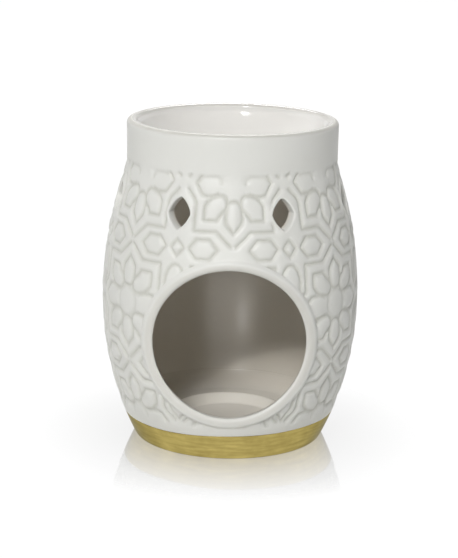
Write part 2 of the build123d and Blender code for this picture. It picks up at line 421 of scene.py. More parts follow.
@dataclass(frozen=True)
class Rosette:
    """Rosette and strapwork repeat. A quarter of it is drawn, and mirrored both ways.

    The lines are shares of the repeat's width and height, from the middle of the rosette.
    """

    repeats: int = 7
    belt_radius: float = 51.5
    row_height: float = 49.2
    first_row: float = 112.5
    rows: int = 3
    groove_half_width: float = 1.25
    side_shares: tuple[float, ...] = (0.0, -0.5, 0.5, -1.05, 1.05)
    point_spacing: float = 0.95
    fill_spacing: float = 1.15
    closest: float = 0.42
    edge_snap: float = 0.25
    seam_gap: float = 0.45
    drift_deg: float = 1.2
    drift_swing_deg: float = 1.5

    @property
    def width(self) -> float:
        """Width of the repeat on the belt of the pot."""
        return 2 * math.pi * self.belt_radius / self.repeats

    def drift(self, angle: np.ndarray) -> np.ndarray:
        """How far the moulded pattern is turned from the hand-cut vents, in radians."""
        return np.radians(self.drift_deg + self.drift_swing_deg * np.sin(angle))

    @staticmethod
    def line_shares() -> dict[Stroke, list[list[tuple[float, float]]]]:
        """Line work of the quarter.

        Returns:
            The lines of each kind, as shares of the repeat's width and height.
        """
        upright_petal = [
            (0, 0.372),
            (0.072, 0.295),
            (0.078, 0.25),
            (0.072, 0.19),
            (0.058, 0.148),
            (0.03, 0.13),
            (0, 0.126),
        ]
        corner_petal = [
            (0.072, 0.19),
            (0.105, 0.215),
            (0.135, 0.245),
            (0.155, 0.274),
            (0.272, 0.274),
            (0.275, 0.205),
            (0.268, 0.16),
            (0.24, 0.122),
            (0.2, 0.098),
            (0.155, 0.086),
            (0.105, 0.084),
            (0.075, 0.106),
            (0.058, 0.148),
        ]
        level_petal = [(0.372, 0), (0.303, 0.086), (0.25, 0.094), (0.2, 0.09), (0.15, 0.078)]
        hub = [(0.113, 0), (0.107, 0.04), (0.09, 0.072), (0.06, 0.1), (0.03, 0.116), (0, 0.122)]
        petal_gap = [(0.15, 0.078), (0.12, 0.068), (0.1, 0.06)]
        strap = [
            (0.452, 0.046),
            (0.374, 0.118),
            (0.357, 0.155),
            (0.357, 0.36),
            (0.155, 0.36),
            (0.12, 0.39),
            (0.02, 0.474),
        ]
        pad = [(0.137, 0.5), (0.206, 0.425), (0.326, 0.424), (0.386, 0.494)]
        lozenge = [(0.442, 0.5), (0.465, 0.47), (0.5, 0.438)]
        leaf = [
            (0.5, 0.368),
            (0.472, 0.362),
            (0.44, 0.33),
            (0.418, 0.28),
            (0.409, 0.215),
            (0.42, 0.15),
            (0.5, 0.056),
        ]
        cap = [(0.118, 0.0), (0.125, 0.03), (0.16, 0.05), (0.24, 0.056), (0.31, 0.048), (0.355, 0.012)]
        return {
            Stroke.STRAP: [upright_petal, corner_petal, level_petal, strap, pad, lozenge],
            Stroke.HUB: [hub, petal_gap],
            Stroke.LEAF: [leaf],
            Stroke.CAP: [cap],
        }

    def lines(self, kind: Stroke) -> list[np.ndarray]:
        """Lines of one kind in millimetres, from the middle of the rosette."""
        scale = np.array([self.width, self.row_height])
        return [np.array(line) * scale for line in self.line_shares()[kind]]

    def quarter_points(self) -> Flat:
        """Points of the quarter: along the grooves, beside them, and between them.

        Returns:
            The points, at least about 0.4 mm apart.
        """
        wanted: list[np.ndarray] = []
        all_lines = [line for kind in Stroke for line in self.lines(kind)]
        for side in self.side_shares:
            for line in all_lines:
                wanted.extend(self.beside(line, side * self.groove_half_width))
        half = np.array([self.width / 2, self.row_height / 2])
        across = max(2, round(half[0] / self.fill_spacing))
        up = max(2, round(half[1] / self.fill_spacing))
        for column in range(across + 1):
            for row in range(up + 1):
                wanted.append(np.array([half[0] * column / across, half[1] * row / up]))
        return np.array(self.thinned(wanted, half))

    def beside(self, line: np.ndarray, offset: float) -> list[np.ndarray]:
        """Points beside a line, at an even spacing along it.

        Args:
            line: corners of the line.
            offset: distance from the line, positive to its left.

        Returns:
            The points in order.
        """
        points = []
        for start, end in zip(line, line[1:]):
            run = end - start
            length = float(np.linalg.norm(run))
            normal = np.array([-run[1], run[0]]) / length
            count = max(1, round(length / self.point_spacing))
            for step in range(count + 1):
                points.append(start + run * step / count + normal * offset)
        return points

    def thinned(self, wanted: list[np.ndarray], half: np.ndarray) -> list[np.ndarray]:
        """Keeps points in order of their rank, none closer than its rank allows.

        Args:
            wanted: candidate points, the most important first.
            half: width and height of the quarter.

        Returns:
            The points kept, those near the quarter's edges moved onto them.
        """
        cell, snap = self.closest, self.edge_snap
        grid: dict[tuple[int, int], list[np.ndarray]] = {}
        kept: list[np.ndarray] = []
        for point in wanted:
            if (point < -snap).any() or (point > half + snap).any():
                continue
            point = np.where(point < snap, 0.0, point)
            point = np.where(point > half - snap, half, point)
            key = (int(point[0] // cell), int(point[1] // cell))
            near = [
                other
                for column in range(key[0] - 1, key[0] + 2)
                for row in range(key[1] - 1, key[1] + 2)
                for other in grid.get((column, row), [])
            ]
            if any(float(np.hypot(*(point - other))) < cell for other in near):
                continue
            grid.setdefault(key, []).append(point)
            kept.append(point)
        return kept

    def spread(self, low: float, high: float) -> Flat:
        """Points of the whole wall, unrolled on the belt.

        Args:
            low: lowest height.
            high: highest height.

        Returns:
            Distances along the belt from the front, and heights.
        """
        quarter = self.quarter_points()
        tiles = []
        start = -(self.repeats // 2)
        for column in range(start, start + self.repeats + 1):
            for row in range(self.rows):
                for across in (1, -1):
                    for up in (1, -1):
                        centre = (column * self.width, self.first_row - row * self.row_height)
                        tiles.append(quarter * (across, up) + centre)
        points = np.unique(np.round(np.concatenate(tiles), 4), axis=0)
        points[:, 0] += self.belt_radius * self.drift(points[:, 0] / self.belt_radius)
        left, right = start * self.width, (start + self.repeats) * self.width
        inside = (points[:, 0] > left + self.seam_gap) & (points[:, 0] < right - self.seam_gap)
        inside &= (points[:, 1] > low) & (points[:, 1] < high)
        levels = np.linspace(low, high, round((high - low) / self.fill_spacing))
        seam = [np.stack([np.full(len(levels), side), levels], axis=-1) for side in (left, right)]
        return np.concatenate([points[inside], *seam])

    def stroke_object(self, kind: Stroke) -> bpy.types.Object:
        """Lines of one kind as a flat mesh of edges that the emboss tree measures from.

        Args:
            kind: kind of the lines.

        Returns:
            The object, not yet linked to the scene.
        """
        points: list[tuple[float, float, float]] = []
        edges: list[tuple[int, int]] = []
        for line in self.lines(kind):
            first = len(points)
            points.extend((x * MM, y * MM, 0.0) for x, y in line)
            edges.extend((number, number + 1) for number in range(first, len(points) - 1))
        mesh = bpy.data.meshes.new(f"{kind.value}_strokes")
        mesh.from_pydata(points, edges, [])
        return bpy.data.objects.new(f"{kind.value}_strokes", mesh)


@dataclass(frozen=True)
class Window:
    """Round mouth of the chamber and its raised collar, in millimetres."""

    radius: float = 30.6
    height: float = 49.6
    points: int = 300
    bead_shares: tuple[tuple[float, float], ...] = (
        (0.01, -1.00),
        (0.05, -0.50),
        (0.11, -0.05),
        (0.19, 0.32),
        (0.29, 0.62),
        (0.41, 0.85),
        (0.53, 0.98),
        (0.62, 1.00),
        (0.71, 0.86),
        (0.79, 0.56),
        (0.87, 0.22),
        (0.94, 0.03),
        (1.00, 0.00),
    )
    bead_width: float = 4.4
    bead_rise: float = 0.8
    inner_bead_darkening: float = 0.55
    inner_bead_darkening_shares: tuple[float, float] = (0.35, 0.62)
    edge_drop: float = 1.3
    inner_drop: float = 0.9
    inner_margin: float = 1.2
    inner_steps: tuple[tuple[float, float], ...] = ((0.14, -0.4), (0.5, -0.08))
    cut_shares: tuple[float, ...] = (0.0, 0.34, 0.67, 1.0)

    @property
    def reach(self) -> float:
        """Radius at which the collar and its gutter end on the wall."""
        return self.radius + self.bead_shares[-1][0] * self.bead_width

    def ring(
        self, form: PotForm, radius: float, skin: Skin, rise: float = 0.0, sink: float = 0.0
    ) -> Places:
        """Ring of points round the window on a face of the wall.

        Args:
            form: the pot.
            radius: radius of the ring seen from the front.
            skin: face of the wall.
            rise: height off the face, along its normal.
            sink: depth from the face, along Y.

        Returns:
            The points of the ring.
        """
        angle, height = self.unrolled(form, radius, skin)
        places = on_wall(form, angle, height, skin, rise)
        places[:, 1] += sink
        return places

    def unrolled(
        self, form: PotForm, radius: float, skin: Skin
    ) -> tuple[np.ndarray, np.ndarray]:
        """Ring round the window on the unrolled wall.

        Args:
            form: the pot.
            radius: radius of the ring seen from the front.
            skin: face of the wall.

        Returns:
            Its angles and heights.
        """
        turn = np.arange(self.points) * (2 * math.pi / self.points)
        height = self.height + radius * np.sin(turn)
        angle = np.arcsin(radius * np.cos(turn) / form.radius(height, skin))
        return angle, height


@dataclass(frozen=True)
class Vent:
    """Pierced lozenge under the neck, in millimetres."""

    half_width: float = 4.6
    half_height: float = 6.05
    height: float = 100.8
    bowing: float = 1.4
    points: int = 52
    outer_margin: float = 1.25
    rim_steps: tuple[tuple[float, float], ...] = ((0.8, 0.05), (0.42, 0.02), (0.16, -0.14))
    outer_drop: float = 0.5
    inner_drop: float = 0.4
    cut_shares: tuple[float, ...] = (0.0, 0.33, 0.67, 1.0)
    flare: float = -0.4
    tuck: float = 0.12
    tuck_drop: float = 0.1
    inner_margin: float = 0.8

    def outline(self, margin: float) -> Flat:
        """Lozenge with bowed sides, grown by a margin.

        Args:
            margin: how far outside the cut edge.

        Returns:
            Distances across and up from the vent's centre.
        """
        turn = np.arange(self.points) * (2 * math.pi / self.points)
        power = 2 / self.bowing
        across = np.sign(np.cos(turn)) * np.abs(np.cos(turn)) ** power
        up = np.sign(np.sin(turn)) * np.abs(np.sin(turn)) ** power
        pull = self.bowing - 1
        normal = np.stack(
            [
                np.sign(across) * np.abs(across) ** pull / self.half_width,
                np.sign(up) * np.abs(up) ** pull / self.half_height,
            ],
            axis=-1,
        )
        normal /= np.linalg.norm(normal, axis=1, keepdims=True)
        return np.stack([across * self.half_width, up * self.half_height], axis=-1) + normal * margin

    def ring(
        self, form: PotForm, margin: float, skin: Skin, rise: float = 0.0, sink: float = 0.0
    ) -> Places:
        """Ring of points round a vent at the front of the pot, before it is turned into place.

        Args:
            form: the pot.
            margin: how far outside the cut edge.
            skin: face of the wall.
            rise: height off the face, along its normal.
            sink: depth from the face, along Y.

        Returns:
            The points of the ring.
        """
        outline = self.outline(margin)
        height = self.height + outline[:, 1]
        angle = np.arcsin(outline[:, 0] / form.radius(height, skin))
        places = on_wall(form, angle, height, skin, rise)
        places[:, 1] += sink
        return places

    def unrolled(
        self, form: PotForm, margin: float, skin: Skin, centre: float
    ) -> tuple[np.ndarray, np.ndarray]:
        """Ring round a vent on the unrolled wall.

        Args:
            form: the pot.
            margin: how far outside the cut edge.
            skin: face of the wall.
            centre: angle of the vent's middle.

        Returns:
            Its angles and heights.
        """
        outline = self.outline(margin)
        height = self.height + outline[:, 1]
        return centre + np.arcsin(outline[:, 0] / form.radius(height, skin)), height


def cut_rings(
    sketch: MeshSketch, outer: Places, inner: Places, shares: Sequence[float]
) -> list[np.ndarray]:
    """Draws the rings of a cut through the wall. Its inner half has the chamber's glaze.

    Args:
        sketch: where the mesh is drawn.
        outer: ring where the cut starts.
        inner: ring where it ends.
        shares: where the rings lie between the two.

    Returns:
        The numbers of the points of each ring.
    """
    rings = []
    for share in shares:
        cut = outer * (1 - share) + inner * share
        rings.append(sketch.add(cut, inner=smooth_step(share, 0.5, 1.0)))
    return rings


@dataclass(frozen=True)
class PotBody:
    """Bellied pot with its embossed wall, window, vents and neck, in millimetres."""

    form: PotForm
    rosette: Rosette
    window: Window
    vent: Vent
    node: str = "pot_body"
    columns: int = 420
    sheet_low: float = 13.0
    sheet_high: float = 116.6
    outer_gap: float = 0.5
    inner_low: float = 14.2
    inner_high: float = 117.5
    inner_spacing: float = 4.5
    inner_gap: float = 2.0
    neck_rows: int = 12
    lip_rows: int = 8
    foot_rounding: float = 0.3
    foot_row_shares: tuple[float, ...] = (0.4, 0.75)
    foot_round_shares: tuple[tuple[float, float], ...] = ((1.0, 0.0), (0.4, 0.2), (0.0, 1.0))

    def column_angles(self) -> np.ndarray:
        """Angles of the columns of points round the pot, from the seam of the unrolled wall."""
        start = -(self.rosette.repeats // 2) * 2 * math.pi / self.rosette.repeats
        return start + np.arange(self.columns) * (2 * math.pi / self.columns)

    def vent_angles(self) -> np.ndarray:
        """Angles of the middles of the vents, which straddle the window evenly."""
        pitch = 2 * math.pi / self.rosette.repeats
        start = -(self.rosette.repeats // 2)
        return (np.arange(start, start + self.rosette.repeats) + 0.5) * pitch

    def sheet(
        self, sketch: MeshSketch, skin: Skin, fill: Flat, low: float, high: float
    ) -> dict[str, Any]:
        """Triangulated face of the wall between two heights, with its holes left open.

        Args:
            sketch: where the mesh is drawn.
            skin: face of the wall.
            fill: unrolled points between the rings.
            low: height of its lowest ring.
            high: height of its highest ring.

        Returns:
            The numbers of its edge rings: low, high and window.
        """
        belt = self.rosette.belt_radius
        outside = skin is Skin.OUTSIDE
        reach = self.window.reach if outside else self.window.radius + self.window.inner_margin
        margin = self.vent.outer_margin if outside else self.vent.inner_margin
        gap = self.outer_gap if outside else self.inner_gap
        angles = np.append(self.column_angles(), self.column_angles()[0] + 2 * math.pi)
        blocks = [
            np.stack([angles * belt, np.full(len(angles), low)], axis=-1),
            np.stack([angles * belt, np.full(len(angles), high)], axis=-1),
        ]
        window_angle, window_height = self.window.unrolled(self.form, reach, skin)
        holes = [np.stack([window_angle * belt, window_height], axis=-1)]
        for centre in self.vent_angles():
            angle, height = self.vent.unrolled(self.form, margin, skin, centre)
            holes.append(np.stack([angle * belt, height], axis=-1))
        fill = self.clear_of(fill, holes, low, high, gap)
        blocks.extend(holes)
        starts = np.cumsum([0] + [len(block) for block in blocks])
        edges = []
        for index, hole in enumerate(holes):
            first = starts[index + 2]
            numbers = list(range(first, first + len(hole)))
            edges.extend(zip(numbers, numbers[1:] + numbers[:1]))
        flat = np.concatenate(blocks + [fill])
        vectors = [Vector(point) for point in flat]
        result = delaunay_2d_cdt(vectors, [(int(a), int(b)) for a, b in edges], [], 0, 1e-6)
        places = np.array([tuple(point) for point in result[0]])
        triangles = np.array(result[2])
        middles = places[triangles].mean(axis=1)
        keep = np.ones(len(triangles), dtype=bool)
        for hole in holes:
            keep &= ~inside_ring(middles, hole)
        numbers = sketch.add(
            on_wall(self.form, places[:, 0] / belt, places[:, 1], skin),
            skin=float(outside),
            inner=float(not outside),
        )
        for corners in numbers[triangles[keep]]:
            sketch.face(corners)
        made_from = {old: new for new, sources in enumerate(result[3]) for old in sources}
        found = [
            numbers[[made_from[number] for number in range(starts[index], starts[index + 1])]]
            for index in range(3)
        ]
        return {"low": found[0][:-1], "high": found[1][:-1], "window": found[2]}

    def clear_of(self, fill: Flat, rings: list[Flat], low: float, high: float, gap: float) -> Flat:
        """Fill points that stay clear of the holes and of the lowest and highest rings.

        Args:
            fill: unrolled points.
            rings: edges of the holes.
            low: height of the lowest ring.
            high: height of the highest ring.
            gap: how far clear they stay.

        Returns:
            The points that are left.
        """
        keep = (fill[:, 1] > low + gap) & (fill[:, 1] < high - gap)
        for ring in rings:
            centre = ring.mean(axis=0)
            grown = centre + (ring - centre) * (1 + gap / np.abs(ring - centre).max(axis=0))
            keep &= ~inside_ring(fill, grown)
        return fill[keep]

    def inner_fill(self) -> Flat:
        """Even points for the smooth inner face of the wall.

        Returns:
            Distances along the belt from the front, and heights.
        """
        belt = self.rosette.belt_radius
        left = self.column_angles()[0] * belt
        turn = 2 * math.pi * belt
        across = round(turn / self.inner_spacing)
        up = round((self.inner_high - self.inner_low) / self.inner_spacing)
        grid_x, grid_z = np.meshgrid(np.arange(across + 1) / across, np.arange(1, up) / up)
        height = self.inner_low + grid_z * (self.inner_high - self.inner_low)
        return np.stack([(left + grid_x * turn).ravel(), height.ravel()], axis=-1)

    def draw_window(self, sketch: MeshSketch, outer: np.ndarray, inner: np.ndarray) -> None:
        """Draws the collar and the cut edge of the window between the two faces of the wall.

        Args:
            sketch: where the mesh is drawn.
            outer: edge ring of the outer face.
            inner: edge ring of the inner face.
        """
        window, form = self.window, self.form
        rings = [outer]
        for share, rise in reversed(window.bead_shares[:-1]):
            radius = window.radius + share * window.bead_width
            ring = window.ring(form, radius, Skin.OUTSIDE, rise * window.bead_rise)
            # The inner slope of the collar is darkened through the edge mark, fading out before the
            # crest.
            fading = float(smooth_step(np.array(share), *window.inner_bead_darkening_shares))
            rings.append(sketch.add(ring, edge=window.inner_bead_darkening * (1.0 - fading)))
        outer_cut = window.ring(form, window.radius, Skin.OUTSIDE, sink=window.edge_drop)
        inner_cut = window.ring(form, window.radius, Skin.INSIDE, sink=-window.inner_drop)
        rings.extend(cut_rings(sketch, outer_cut, inner_cut, window.cut_shares))
        for margin, sink in window.inner_steps:
            ring = window.ring(form, window.radius + margin, Skin.INSIDE, sink=sink)
            rings.append(sketch.add(ring, inner=1.0))
        rings.append(inner)
        sketch.bands(rings)

    def vent_rim(self) -> bpy.types.Object:
        """Rim of one vent at the front of the pot: rounded edges and the cut between the faces.

        Returns:
            The rim as an object, which the emboss tree repeats round the pot.
        """
        vent, form = self.vent, self.form
        sketch = MeshSketch()
        rings = [sketch.add(vent.ring(form, vent.outer_margin, Skin.OUTSIDE))]
        for margin, rise in vent.rim_steps:
            rings.append(sketch.add(vent.ring(form, margin, Skin.OUTSIDE, rise=rise)))
        outer_cut = vent.ring(form, 0.0, Skin.OUTSIDE, sink=vent.outer_drop)
        inner_cut = vent.ring(form, vent.flare, Skin.INSIDE, sink=-vent.inner_drop)
        rings.extend(cut_rings(sketch, outer_cut, inner_cut, vent.cut_shares))
        tucked = vent.ring(form, vent.flare + vent.tuck, Skin.INSIDE, sink=-vent.tuck_drop)
        rings.append(sketch.add(tucked, inner=1.0))
        rings.append(sketch.add(vent.ring(form, vent.inner_margin, Skin.INSIDE), inner=1.0))
        sketch.bands(rings)
        return sketch.object("vent_rim", [])

    def ring_at(
        self, sketch: MeshSketch, radius: Any, height: Any, edge: float = 0.0
    ) -> np.ndarray:
        """Adds a ring of points, one on each of the pot's columns.

        Args:
            sketch: where the mesh is drawn.
            radius: its radius, or one for each column.
            height: its height, or one for each column.
            edge: mark that darkens the ring, as painted shade on the lip's crown.

        Returns:
            The numbers of its points.
        """
        angles = self.column_angles()
        radius = np.broadcast_to(radius, angles.shape)
        height = np.broadcast_to(height, angles.shape)
        places = np.stack([radius * np.sin(angles), -radius * np.cos(angles), height], axis=-1)
        return sketch.add(places, edge=edge)

    def draw_neck(self, sketch: MeshSketch, outer: np.ndarray, inner: np.ndarray) -> None:
        """Draws the neck, the outer half of the lip and the ledge that carries the dish.

        Args:
            sketch: where the mesh is drawn.
            outer: highest ring of the outer face.
            inner: highest ring of the inner face.
        """
        form = self.form
        rings = [outer]
        lip_low = form.height - form.lip_round
        for height in np.linspace(self.sheet_high, lip_low, self.neck_rows)[1:]:
            rings.append(self.ring_at(sketch, form.radius(height), height))
        # Rings over the lip's rounding and crown carry the edge mark: painted shade on the crown.
        for turn in np.linspace(0, math.pi / 2, self.lip_rows)[1:]:
            radius = form.lip_radius - form.lip_round * (1 - math.cos(turn))
            height = lip_low + form.lip_round * math.sin(turn)
            rings.append(self.ring_at(sketch, radius, height, edge=form.lip_crown_shade(radius, height)))
        ledge = form.height - form.ledge_depth
        rings.append(self.ring_at(sketch, form.joint_radius, form.height, edge=1.0))
        rings.append(self.ring_at(sketch, form.joint_radius, ledge))
        rings.append(self.ring_at(sketch, form.bore_radius, ledge))
        rings.append(inner)
        sketch.bands(rings)

    def draw_foot(self, sketch: MeshSketch, outer: np.ndarray, inner: np.ndarray) -> None:
        """Draws the edge of the wall that sits on the foot ring.

        Args:
            sketch: where the mesh is drawn.
            outer: lowest ring of the outer face.
            inner: lowest ring of the inner face.
        """
        form, rounding = self.form, self.foot_rounding
        seam = form.seam(self.column_angles())
        rings = [outer]
        for share in self.foot_row_shares:
            height = self.sheet_low + (seam + rounding - self.sheet_low) * share
            rings.append(self.ring_at(sketch, form.radius(height), height))
        for rise, tuck in self.foot_round_shares:
            height = seam + rounding * rise
            rings.append(self.ring_at(sketch, form.radius(height) - rounding * tuck, height))
        rings.append(self.ring_at(sketch, form.seat_radius, seam))
        rings.append(inner)
        sketch.bands(rings)

    def draw(self) -> bpy.types.Object:
        """Draws the smooth pot, without its vent rims and its pattern.

        Returns:
            The object that the emboss tree works on.
        """
        sketch = MeshSketch()
        fill = self.rosette.spread(self.sheet_low, self.sheet_high)
        outer = self.sheet(sketch, Skin.OUTSIDE, fill, self.sheet_low, self.sheet_high)
        inner = self.sheet(
            sketch, Skin.INSIDE, self.inner_fill(), self.inner_low, self.inner_high
        )
        self.draw_window(sketch, outer["window"], inner["window"])
        self.draw_neck(sketch, outer["high"], inner["high"])
        self.draw_foot(sketch, outer["low"], inner["low"])
        return sketch.object(self.node, [])

    def build(self, glaze: bpy.types.Material) -> bpy.types.Object:
        """Makes the finished pot.

        Args:
            glaze: its material.

        Returns:
            The piece, which stands for the CAD node.
        """
        smooth = self.draw()
        rim = self.vent_rim()
        strokes = {kind: self.rosette.stroke_object(kind) for kind in Stroke}
        for helper in strokes.values():
            bpy.context.scene.collection.objects.link(helper)
        tree = EmbossTree(self.rosette, self.window)
        piece = tree.apply(smooth, rim, strokes, glaze)
        for helper in [smooth, rim, *strokes.values()]:
            bpy.data.objects.remove(helper, do_unlink=True)
        piece.name = self.node + "_glazed"
        tidy_mesh(piece.data)
        stand_in(piece, self.node)
        return piece


def inside_ring(points: Flat, ring: Flat) -> np.ndarray:
    """Which points lie inside a closed ring.

    Args:
        points: points to test.
        ring: corners of the ring in order.

    Returns:
        True for each point inside.
    """
    inside = np.zeros(len(points), dtype=bool)
    low, high = ring.min(axis=0), ring.max(axis=0)
    near = ((points >= low) & (points <= high)).all(axis=1)
    x, y = points[near, 0], points[near, 1]
    crossed = np.zeros(near.sum(), dtype=bool)
    for (x1, y1), (x2, y2) in zip(ring, np.roll(ring, -1, axis=0)):
        if y1 == y2:
            continue
        spans = (y1 > y) != (y2 > y)
        crossed ^= spans & (x < (x2 - x1) * (y - y1) / (y2 - y1) + x1)
    inside[near] = crossed
    return inside


def add_node(
    tree: bpy.types.NodeTree, kind: str, inputs: dict[Any, Any] | None = None, **settings: Any
) -> bpy.types.Node:
    """Adds a node with its settings, and links or sets its inputs.

    Args:
        tree: node tree that gets the node.
        kind: type name of the node.
        inputs: by name or number, a socket to link from or a value to set.
        settings: properties of the node.

    Returns:
        The new node.
    """
    node = tree.nodes.new(kind)
    for name, value in settings.items():
        setattr(node, name, value)
    for key, value in (inputs or {}).items():
        socket = node.inputs[key]
        if isinstance(value, bpy.types.NodeSocket):
            tree.links.new(value, socket)
        else:
            socket.default_value = value
    return node


def calculated(tree: bpy.types.NodeTree, operation: str, *values: Any) -> bpy.types.NodeSocket:
    """Result of a math node on sockets or numbers."""
    return add_node(tree, "ShaderNodeMath", dict(enumerate(values)), operation=operation).outputs[0]


@dataclass
class EmbossTree:
    """Geometry Nodes tree that sets the vent rims round the pot and presses the pattern in.

    Lengths are in millimetres. Each kind of stroke shows between two heights only.
    """

    rosette: Rosette
    window: Window
    groove_depth: float = 0.64
    soft_depth: float = 0.3
    pillow_rise: float = 0.2
    pillow_reach: float = 3.0
    fade: float = 1.1
    patch_centre: tuple[float, float] = (0.7, 83.6)
    patch_reach: tuple[float, float] = (7.2, 4.3)
    patch_fade: tuple[float, float] = (0.8, 1.15)
    pattern_low: float = 14.3
    pattern_high: float = 116.2
    hub_top: float = 95.0
    leaf_top: float = 88.0
    cap_low: float = 112.4
    row_fade: float = 0.5
    unevenness: float = 0.05
    swell_size: float = 11.0
    swell_detail: float = 2.0
    merge_gap: float = 0.002
    seed: int = 7
    inputs: dict[str, str] = field(default_factory=dict)

    def __post_init__(self) -> None:
        """Makes the tree and its named inputs."""
        self.tree = bpy.data.node_groups.new("emboss_pot", "GeometryNodeTree")
        self.socket("Geometry", "NodeSocketGeometry")
        self.socket("Vent Rim", "NodeSocketObject")
        for kind in Stroke:
            self.socket(self.stroke_input(kind), "NodeSocketObject")
        self.socket("Repeats", "NodeSocketInt")
        for name in (
            "Repeat Width",
            "Row Height",
            "First Row",
            "Drift",
            "Drift Swing",
            "Groove Half Width",
            "Groove Depth",
            "Soft Depth",
            "Pillow Rise",
            "Window Height",
            "Collar Reach",
            "Unevenness",
        ):
            self.socket(name, "NodeSocketFloat")
        self.socket("Seed", "NodeSocketInt")
        self.socket("Glaze", "NodeSocketMaterial")
        self.tree.interface.new_socket("Geometry", in_out="OUTPUT", socket_type="NodeSocketGeometry")
        self.entry = add_node(self.tree, "NodeGroupInput").outputs

    @staticmethod
    def stroke_input(kind: Stroke) -> str:
        """Name of the input that takes the strokes of a kind."""
        return f"{kind.value.title()} Strokes"

    def socket(self, name: str, kind: str) -> None:
        """Adds a named input to the tree."""
        made = self.tree.interface.new_socket(name, in_out="INPUT", socket_type=kind)
        self.inputs[name] = made.identifier

    def math(self, operation: str, *values: Any) -> bpy.types.NodeSocket:
        """Result of a math node of this tree."""
        return calculated(self.tree, operation, *values)

    def ramp(self, value: Any, low: Any, high: Any, start: Any, end: Any) -> bpy.types.NodeSocket:
        """Smooth ramp of a value from one span onto another.

        Args:
            value: what is mapped.
            low: value at which the ramp starts.
            high: value at which it ends.
            start: result up to low.
            end: result from high on.

        Returns:
            The result.
        """
        inputs = {"Value": value, 1: low, 2: high, 3: start, 4: end}
        node = add_node(
            self.tree, "ShaderNodeMapRange", inputs, interpolation_type="SMOOTHERSTEP", clamp=True
        )
        return node.outputs[0]

    def rims(self) -> bpy.types.NodeSocket:
        """Vent rims, one for each repeat, turned round the axis and made real.

        Returns:
            Their geometry.
        """
        points = add_node(
            self.tree, "GeometryNodePoints", {"Count": self.entry["Repeats"]}
        ).outputs[0]
        rim = add_node(self.tree, "GeometryNodeObjectInfo", {"Object": self.entry["Vent Rim"]})
        number = add_node(self.tree, "GeometryNodeInputIndex").outputs[0]
        share = self.math("DIVIDE", self.math("ADD", number, 0.5), self.entry["Repeats"])
        turn = self.math("MULTIPLY", share, 2 * math.pi)
        spin = add_node(self.tree, "ShaderNodeCombineXYZ", {"Z": turn}).outputs[0]
        rotation = add_node(self.tree, "FunctionNodeEulerToRotation", {0: spin}).outputs[0]
        placed = add_node(
            self.tree,
            "GeometryNodeInstanceOnPoints",
            {"Points": points, "Instance": rim.outputs["Geometry"], "Rotation": rotation},
        )
        return add_node(self.tree, "GeometryNodeRealizeInstances", {0: placed.outputs[0]}).outputs[0]

    def folded(self, x: Any, y: Any, z: Any) -> bpy.types.NodeSocket:
        """Folds the wall onto the quarter of the repeat.

        Args:
            x: where a point is to the right.
            y: where it is to the back.
            z: its height.

        Returns:
            Its place in the quarter.
        """
        back = self.math("MULTIPLY", y, -1.0)
        angle = self.math("ARCTAN2", x, back)
        swing = self.math("MULTIPLY", self.math("SINE", angle), self.entry["Drift Swing"])
        turned = self.math("SUBTRACT", angle, self.math("ADD", swing, self.entry["Drift"]))
        column = self.math("MULTIPLY", turned, self.rosette.repeats / (2 * math.pi))
        above = self.math("SUBTRACT", z, self.entry["First Row"])
        row = self.math("DIVIDE", above, self.entry["Row Height"])
        across = self.math("ABSOLUTE", self.math("SUBTRACT", column, self.math("ROUND", column)))
        up = self.math("ABSOLUTE", self.math("SUBTRACT", row, self.math("ROUND", row)))
        inputs = {
            "X": self.math("MULTIPLY", across, self.entry["Repeat Width"]),
            "Y": self.math("MULTIPLY", up, self.entry["Row Height"]),
        }
        return add_node(self.tree, "ShaderNodeCombineXYZ", inputs).outputs[0]

    def distance(
        self, kind: Stroke, place: bpy.types.NodeSocket, hidden: Any
    ) -> bpy.types.NodeSocket:
        """Distance from a folded place to the strokes of a kind.

        Args:
            kind: kind of the strokes.
            place: the folded place.
            hidden: what is added where the strokes don't show.

        Returns:
            The distance.
        """
        strokes = self.entry[self.stroke_input(kind)]
        source = add_node(self.tree, "GeometryNodeObjectInfo", {"Object": strokes})
        near = add_node(
            self.tree,
            "GeometryNodeProximity",
            {"Geometry": source.outputs["Geometry"], "Sample Position": place},
            target_element="EDGES",
        )
        return self.math("ADD", near.outputs["Distance"], hidden)

    def hidden(self, kind: Stroke, z: bpy.types.NodeSocket) -> Any:
        """Where the strokes of a kind don't show.

        Args:
            kind: kind of the strokes.
            z: height on the wall.

        Returns:
            0 at the heights where they show, and 1 at the others.
        """
        if kind is Stroke.STRAP:
            return 0.0
        if kind is Stroke.CAP:
            return self.ramp(z, (self.cap_low - self.row_fade) * MM, self.cap_low * MM, 1.0, 0.0)
        top = self.leaf_top if kind is Stroke.LEAF else self.hub_top
        return self.ramp(z, top * MM, (top + self.row_fade) * MM, 0.0, 1.0)

    def groove(self, distance: bpy.types.NodeSocket) -> bpy.types.NodeSocket:
        """Depth share of a rounded groove, 1 on its line and 0 at its edge."""
        return self.ramp(distance, 0.0, self.entry["Groove Half Width"], 1.0, 0.0)

